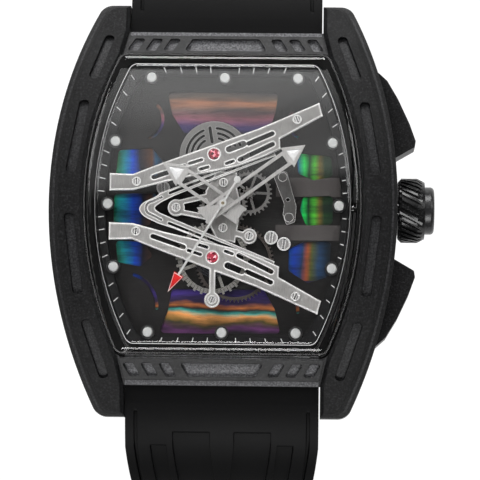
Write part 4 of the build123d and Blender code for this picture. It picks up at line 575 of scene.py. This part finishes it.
class WATCH_OT_strap(bpy.types.Operator):
    """Give the strap, keepers and buckle their finish"""

    bl_idname = "watch.strap"
    bl_label = "Strap finishes"

    def execute(self, context):
        wear(["strap_12", "strap_6", "fixed_keeper", "free_keeper"], rubber("strap rubber", colours().rubber))
        wear(["buckle_frame", "tang"], brushed(
            "dark brushed buckle", (0.1, 0.1, 0.105),
            turn=0.0, roughness=0.35, streak=(60, 900, 900), edge=0.1 * MM,
        ))
        wear(["spring_bars"], polished("spring bar steel", (0.5, 0.5, 0.5)))
        return {"FINISHED"}


class WATCH_OT_dial(bpy.types.Operator):
    """Finish the dial, film, flange ring, cups and dots"""

    bl_idname = "watch.dial"
    bl_label = "Dial finishes"

    def execute(self, context):
        wear(["dial_plate"], smoked_dial())
        wear(["rainbow_film"], rainbow_film())
        wear(["flange_ring"], painted(
            "black flange", (0.005, 0.005, 0.0052), roughness=0.7, grain_scale=1500, sheen=0.08
        ))
        wear(["hour_cups"], polished("dark cups", (0.05, 0.05, 0.05), roughness=0.35))
        wear(["lume_dots"], painted("luminous paint", colours().lume, roughness=0.55))
        wear(["index_ring"], circled("dark toothed ring", (0.14, 0.12, 0.11), INDEX_RING_PLACE))
        return {"FINISHED"}


class WATCH_OT_movement(bpy.types.Operator):
    """Finish the bridges, wheels, screws and jewels"""

    bl_idname = "watch.movement"
    bl_label = "Movement finishes"

    def execute(self, context):
        steel = colours().steel
        # Rim widths here are widths of painted highlights, and each reach is how far painted shade spreads
        # from hollows
        wear(["upper_bridge"], brushed(
            "brushed upper bridge", steel, turn=-BRIDGE_SLOPE, highlight_width=0.32 * MM
        ))
        # Painted light: the lower bridge is the same steel painted 1.35 times lighter, in place of the lamp
        # light it gets less of
        wear(["lower_bridge"], brushed(
            "brushed lower bridge", shade(steel, 1.35), turn=BRIDGE_SLOPE, highlight_width=0.32 * MM
        ))
        wear(["hairpin_bridge"], brushed(
            "brushed hairpin", shade(steel, 1.15),
            turn=-BRIDGE_SLOPE, roughness=0.3, highlight_width=0.26 * MM, reach=0.25 * MM,
        ))
        wear(["centre_bridge"], brushed(
            "brushed centre bridge", shade(steel, 0.9), turn=0.6, roughness=0.36, highlight_width=0.25 * MM
        ))
        wear(["bridge_screws", "bridge_pillars"], brushed(
            "turned screws", (0.3, 0.295, 0.29),
            turn=0.0, roughness=0.36, highlight_width=0.16 * MM, reach=0.2 * MM,
        ))
        wear(["bridge_jewels"], pink_jewel(colours().jewel))
        wear(["lever_bridge"], brushed(
            "grey lever bridge", (0.12, 0.117, 0.115), turn=0.2, roughness=0.34, highlight_width=0.07 * MM
        ))
        wear(["ratchet_disc"], circled(
            "turned ratchet disc", (0.22, 0.216, 0.21), BARREL_PLACE, roughness=0.34, highlight_width=0.15 * MM
        ))
        wear(["barrel"], circled("turned barrel", (0.04, 0.038, 0.036), BARREL_PLACE))
        wear(["balance_wheel"], circled("turned balance", (0.55, 0.535, 0.5), BALANCE_PLACE, roughness=0.28))
        wear(["hairspring", "mainspring"], polished("blued spring", (0.3, 0.32, 0.38), roughness=0.2))
        wear(["minute_wheel", "hour_wheel"], circled("dark steel wheels", (0.32, 0.31, 0.3), CENTRE))
        wear(
            ["centre_wheel", "third_wheel", "fourth_wheel", "escape_wheel", "pallet_fork"],
            circled("pale gilt wheels", (0.5, 0.42, 0.28), CENTRE),
        )
        wear(["main_plate", "train_bridge"], circled(
            "grained plate", (0.3, 0.3, 0.31), CENTRE, roughness=0.35
        ))
        wear(["movement_ring"], painted("dark movement ring", (0.05, 0.05, 0.05)))
        wear(["rotor", "rotor_bearing"], circled("turned rotor", (0.42, 0.42, 0.43), CENTRE, roughness=0.28))
        wear(
            ["stem", "crown_tube", "setting_lever", "balance_staff", "cannon_pinion"],
            polished("plain steel", (0.55, 0.55, 0.55), roughness=0.18),
        )
        return {"FINISHED"}


# Pieces made here


def clear_choice():
    bpy.ops.object.select_all(action="DESELECT")


def settle(piece, name, material, body):
    """Apply a piece's place to its mesh, name it, finish it and let it ride."""
    clear_choice()
    piece.select_set(True)
    bpy.context.view_layer.objects.active = piece
    bpy.ops.object.transform_apply(location=True, rotation=True, scale=True)
    piece.name = name
    piece.data.name = name
    piece.data.materials.clear()
    piece.data.materials.append(material)
    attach(piece, body)


def soften(piece, width, segments=2):
    """Round a piece's edges with an applied bevel."""
    bpy.context.view_layer.objects.active = piece
    modifier = piece.modifiers.new("edges", "BEVEL")
    modifier.width = width
    modifier.segments = segments
    modifier.limit_method = "ANGLE"
    bpy.ops.object.modifier_apply(modifier=modifier.name)


def merge(pieces):
    """Join pieces into the first."""
    clear_choice()
    for piece in pieces:
        piece.select_set(True)
    bpy.context.view_layer.objects.active = pieces[0]
    bpy.ops.object.join()
    return pieces[0]


def bar(middle, length, width, height, angle):
    """Bar whose length runs at an angle from +Y towards +X."""
    clear_choice()
    bpy.ops.mesh.primitive_cube_add(
        size=1, location=middle, rotation=(0, 0, -angle), scale=(width, length, height)
    )
    made = bpy.context.object
    bpy.ops.object.transform_apply(location=False, rotation=True, scale=True)
    return made


def arrow_plate(clock, neck, reach, half_width, low, height):
    """Low three-sided pyramid that points outwards from the hands' axis."""
    clear_choice()
    # A three-sided cone of radius 1 is 1.5 long and the square root of 3 wide
    grow = (reach - neck) / 1.5
    middle = neck + grow / 2
    turn = radians(clock)
    spot = (middle * sin(turn), middle * cos(turn), low + height / 2)
    bpy.ops.mesh.primitive_cone_add(vertices=3, radius1=1, radius2=0.06, depth=1, location=spot)
    made = bpy.context.object
    made.scale = (half_width / (sqrt(3) / 2), grow, height)
    made.rotation_euler = (0, 0, -turn)
    bpy.ops.object.transform_apply(location=False, rotation=True, scale=True)
    return made


def side_reach(y):
    """Half width of the minute track at a distance from its middle."""
    size = sizes()
    rise = size.track_half_width - size.track_end
    radius = (rise**2 + size.track_half_length**2) / (2 * rise)
    return size.track_half_width - radius + sqrt(radius**2 - y**2)


def track_point(clock):
    """Where a ray at a clock angle meets the minute track, found by halving."""
    size = sizes()
    across, along = sin(clock), cos(clock)
    low, high = 0.0, 2 * size.track_half_length
    for _ in range(40):
        middle = (low + high) / 2
        x, y = abs(middle * across), abs(middle * along)
        within = y < size.track_half_length and x < side_reach(min(y, size.track_half_length))
        low, high = (middle, high) if within else (low, middle)
    return low * across, low * along


class WATCH_OT_ticks(bpy.types.Operator):
    """Lay the white minute lines on the flange ring"""

    bl_idname = "watch.ticks"
    bl_label = "Minute lines"

    def execute(self, context):
        size = sizes()
        height = size.flange_top + size.tick_height / 2
        bars = []
        for minute in range(60):
            if minute % 5 == 0:
                continue
            clock = 2 * pi * minute / 60
            spot = (*track_point(clock), height)
            bars.append(bar(spot, size.tick_length, size.tick_width, size.tick_height, clock))
        ticks = merge(bars)
        soften(ticks, TICK_EDGE, 1)
        settle(ticks, "minute_lines", painted("white print", (0.42, 0.42, 0.42)), "watch")
        return {"FINISHED"}


class WATCH_OT_hands(bpy.types.Operator):
    """Finish the hands and fill them with luminous plates"""

    bl_idname = "watch.hands"
    bl_label = "Hands"

    def execute(self, context):
        wear(["hour_hand", "minute_hand"], brushed(
            "brushed hands", (0.5, 0.49, 0.48), turn=0.5, roughness=0.36
        ))
        wear(["seconds_hand"], brushed("seconds needle", (0.6, 0.6, 0.59), turn=0.5, roughness=0.4))
        lume = painted("white hand paint", (0.5, 0.5, 0.5), roughness=0.35)
        hour = arrow_plate(**HOUR_PLATE, height=LUME_HEIGHT)
        soften(hour, PLATE_EDGE)
        settle(hour, "hour_lume", lume, "hour_body")
        minute = arrow_plate(**MINUTE_PLATE, height=LUME_HEIGHT)
        soften(minute, PLATE_EDGE)
        settle(minute, "minute_lume", lume, "minute_body")
        tip = arrow_plate(**SECONDS_TIP, height=TIP_HEIGHT)
        red = painted("red paint", colours().tip, sheen=0.12)
        settle(tip, "seconds_tip", red, "seconds_body")
        return {"FINISHED"}


# Studio


def lamp(name, spot, power, side):
    """Square soft lamp that looks at the watch."""
    data = bpy.data.lights.new(name, "AREA")
    data.energy = power
    data.shape = "SQUARE"
    data.size = side
    made = bpy.data.objects.new(name, data)
    bpy.context.scene.collection.objects.link(made)
    made.location = spot
    made.rotation_euler = (Vector(LAMP_AIM) - Vector(spot)).to_track_quat("-Z", "Y").to_euler()


def soft_card():
    """White card over the 12 o'clock side that shows as a fading haze in the crystal."""
    clear_choice()
    bpy.ops.mesh.primitive_plane_add(size=1, location=CARD_PLACE)
    card = bpy.context.object
    card.scale = CARD_SCALE
    bpy.ops.object.transform_apply(location=True, rotation=True, scale=True)
    card.name = "soft_card"
    material, _, output = finish("card glow", (1, 1, 1), 1.0)
    parts = axes(material)
    slant = combine(material, "MULTIPLY_ADD", parts["X"], -0.6, parts["Y"])
    glow = node(material, "ShaderNodeEmission", Strength=1.9)
    greys = [(position, (level,) * 3) for position, level in (
        (0.02, 0), (0.11, 0.38), (0.45, 0.42), (0.61, 0.75), (0.77, 1)
    )]
    join(material, ramped(material, spread(material, slant, 0.09, 0.42), greys), glow.inputs["Color"])
    join(material, glow.outputs["Emission"], output.inputs["Surface"])
    card.data.materials.append(material)


def studio_floor():
    """Pale floor that the camera, the mirror faces and the crystal see as nearly white."""
    clear_choice()
    bpy.ops.mesh.primitive_plane_add(size=sizes().floor_size, location=(0, 0, 0))
    floor = bpy.context.object
    floor.name = "studio_floor"
    material, shader, output = finish("pale floor", (0.86, 0.86, 0.86), 0.6)
    glow = node(material, "ShaderNodeEmission", Strength=1.12)
    rays = node(material, "ShaderNodeLightPath").outputs
    mirrored = combine(material, "MAXIMUM", rays["Is Glossy Ray"], rays["Is Transmission Ray"])
    seen = combine(material, "MAXIMUM", rays["Is Camera Ray"], mirrored)
    share = combine(material, "MULTIPLY", seen, 0.85)
    mix_shaders(material, share, shader.outputs["BSDF"], glow.outputs["Emission"], output)
    floor.data.materials.append(material)


def studio_world():
    """Faint white light from all sides."""
    world = bpy.data.worlds.new("studio")
    bpy.context.scene.world = world
    world.use_nodes = True
    background = world.node_tree.nodes["Background"]
    background.inputs["Color"].default_value = (1, 1, 1, 1)
    background.inputs["Strength"].default_value = 0.06


def photo_camera():
    """Camera over the dial, tipped towards 6 o'clock and rolled a little, as in the photo."""
    data = bpy.data.cameras.new("photo_camera")
    camera = bpy.data.objects.new("photo_camera", data)
    bpy.context.scene.collection.objects.link(camera)
    data.lens = CAMERA_LENS
    data.sensor_width = CAMERA_SENSOR
    data.clip_start = CAMERA_NEAR
    back = Vector((sin(TOWARD_RIGHT), -sin(TOWARD_SIX), 0))
    back.z = sqrt(1 - back.length_squared)
    camera.location = CAMERA_TARGET + CAMERA_DISTANCE * back
    right = Vector((0, 1, 0)).cross(back).normalized()
    up = back.cross(right)
    turned_right = cos(CAMERA_ROLL) * right + sin(CAMERA_ROLL) * up
    turned_up = -sin(CAMERA_ROLL) * right + cos(CAMERA_ROLL) * up
    matrix = camera.matrix_world.copy()
    for row in range(3):
        for column, axis in enumerate((turned_right, turned_up, back, camera.location)):
            matrix[row][column] = axis[row]
    camera.matrix_world = matrix
    bpy.context.scene.camera = camera


class WATCH_OT_stage(bpy.types.Operator):
    """Set up the floor, the lamps, the world and the camera"""

    bl_idname = "watch.stage"
    bl_label = "Studio"

    def execute(self, context):
        studio_floor()
        studio_world()
        for name, values in LAMPS.items():
            lamp(name, *values)
        soft_card()
        photo_camera()
        bpy.context.scene.view_settings.view_transform = "Standard"
        return {"FINISHED"}


class WATCH_PT_panel(bpy.types.Panel):
    """Lists the sizes, colours and steps of the watch"""

    bl_idname = "WATCH_PT_panel"
    bl_label = "Watch"
    bl_space_type = "VIEW_3D"
    bl_region_type = "UI"
    bl_category = "Watch"

    def draw(self, context):
        for group in (context.scene.watch_sizes, context.scene.watch_colours):
            for name in group.bl_rna.properties.keys():
                if name not in ("rna_type", "name"):
                    self.layout.prop(group, name)
        for step in STEPS:
            self.layout.operator(step.bl_idname)


STEPS = [
    WATCH_OT_stage,
    WATCH_OT_case,
    WATCH_OT_strap,
    WATCH_OT_dial,
    WATCH_OT_movement,
    WATCH_OT_ticks,
    WATCH_OT_hands,
]
CLASSES = [WatchSizes, WatchColours, *STEPS, WATCH_PT_panel]


def register():
    for entry in CLASSES:
        bpy.utils.register_class(entry)
    bpy.types.Scene.watch_sizes = bpy.props.PointerProperty(type=WatchSizes)
    bpy.types.Scene.watch_colours = bpy.props.PointerProperty(type=WatchColours)


def unregister():
    del bpy.types.Scene.watch_colours
    del bpy.types.Scene.watch_sizes
    for entry in reversed(CLASSES):
        bpy.utils.unregister_class(entry)


def main():
    register()
    bpy.ops.watch.stage()
    bpy.ops.watch.case()
    bpy.ops.watch.strap()
    bpy.ops.watch.dial()
    bpy.ops.watch.movement()
    bpy.ops.watch.ticks()
    bpy.ops.watch.hands()


if __name__ == "__main__":
    main()
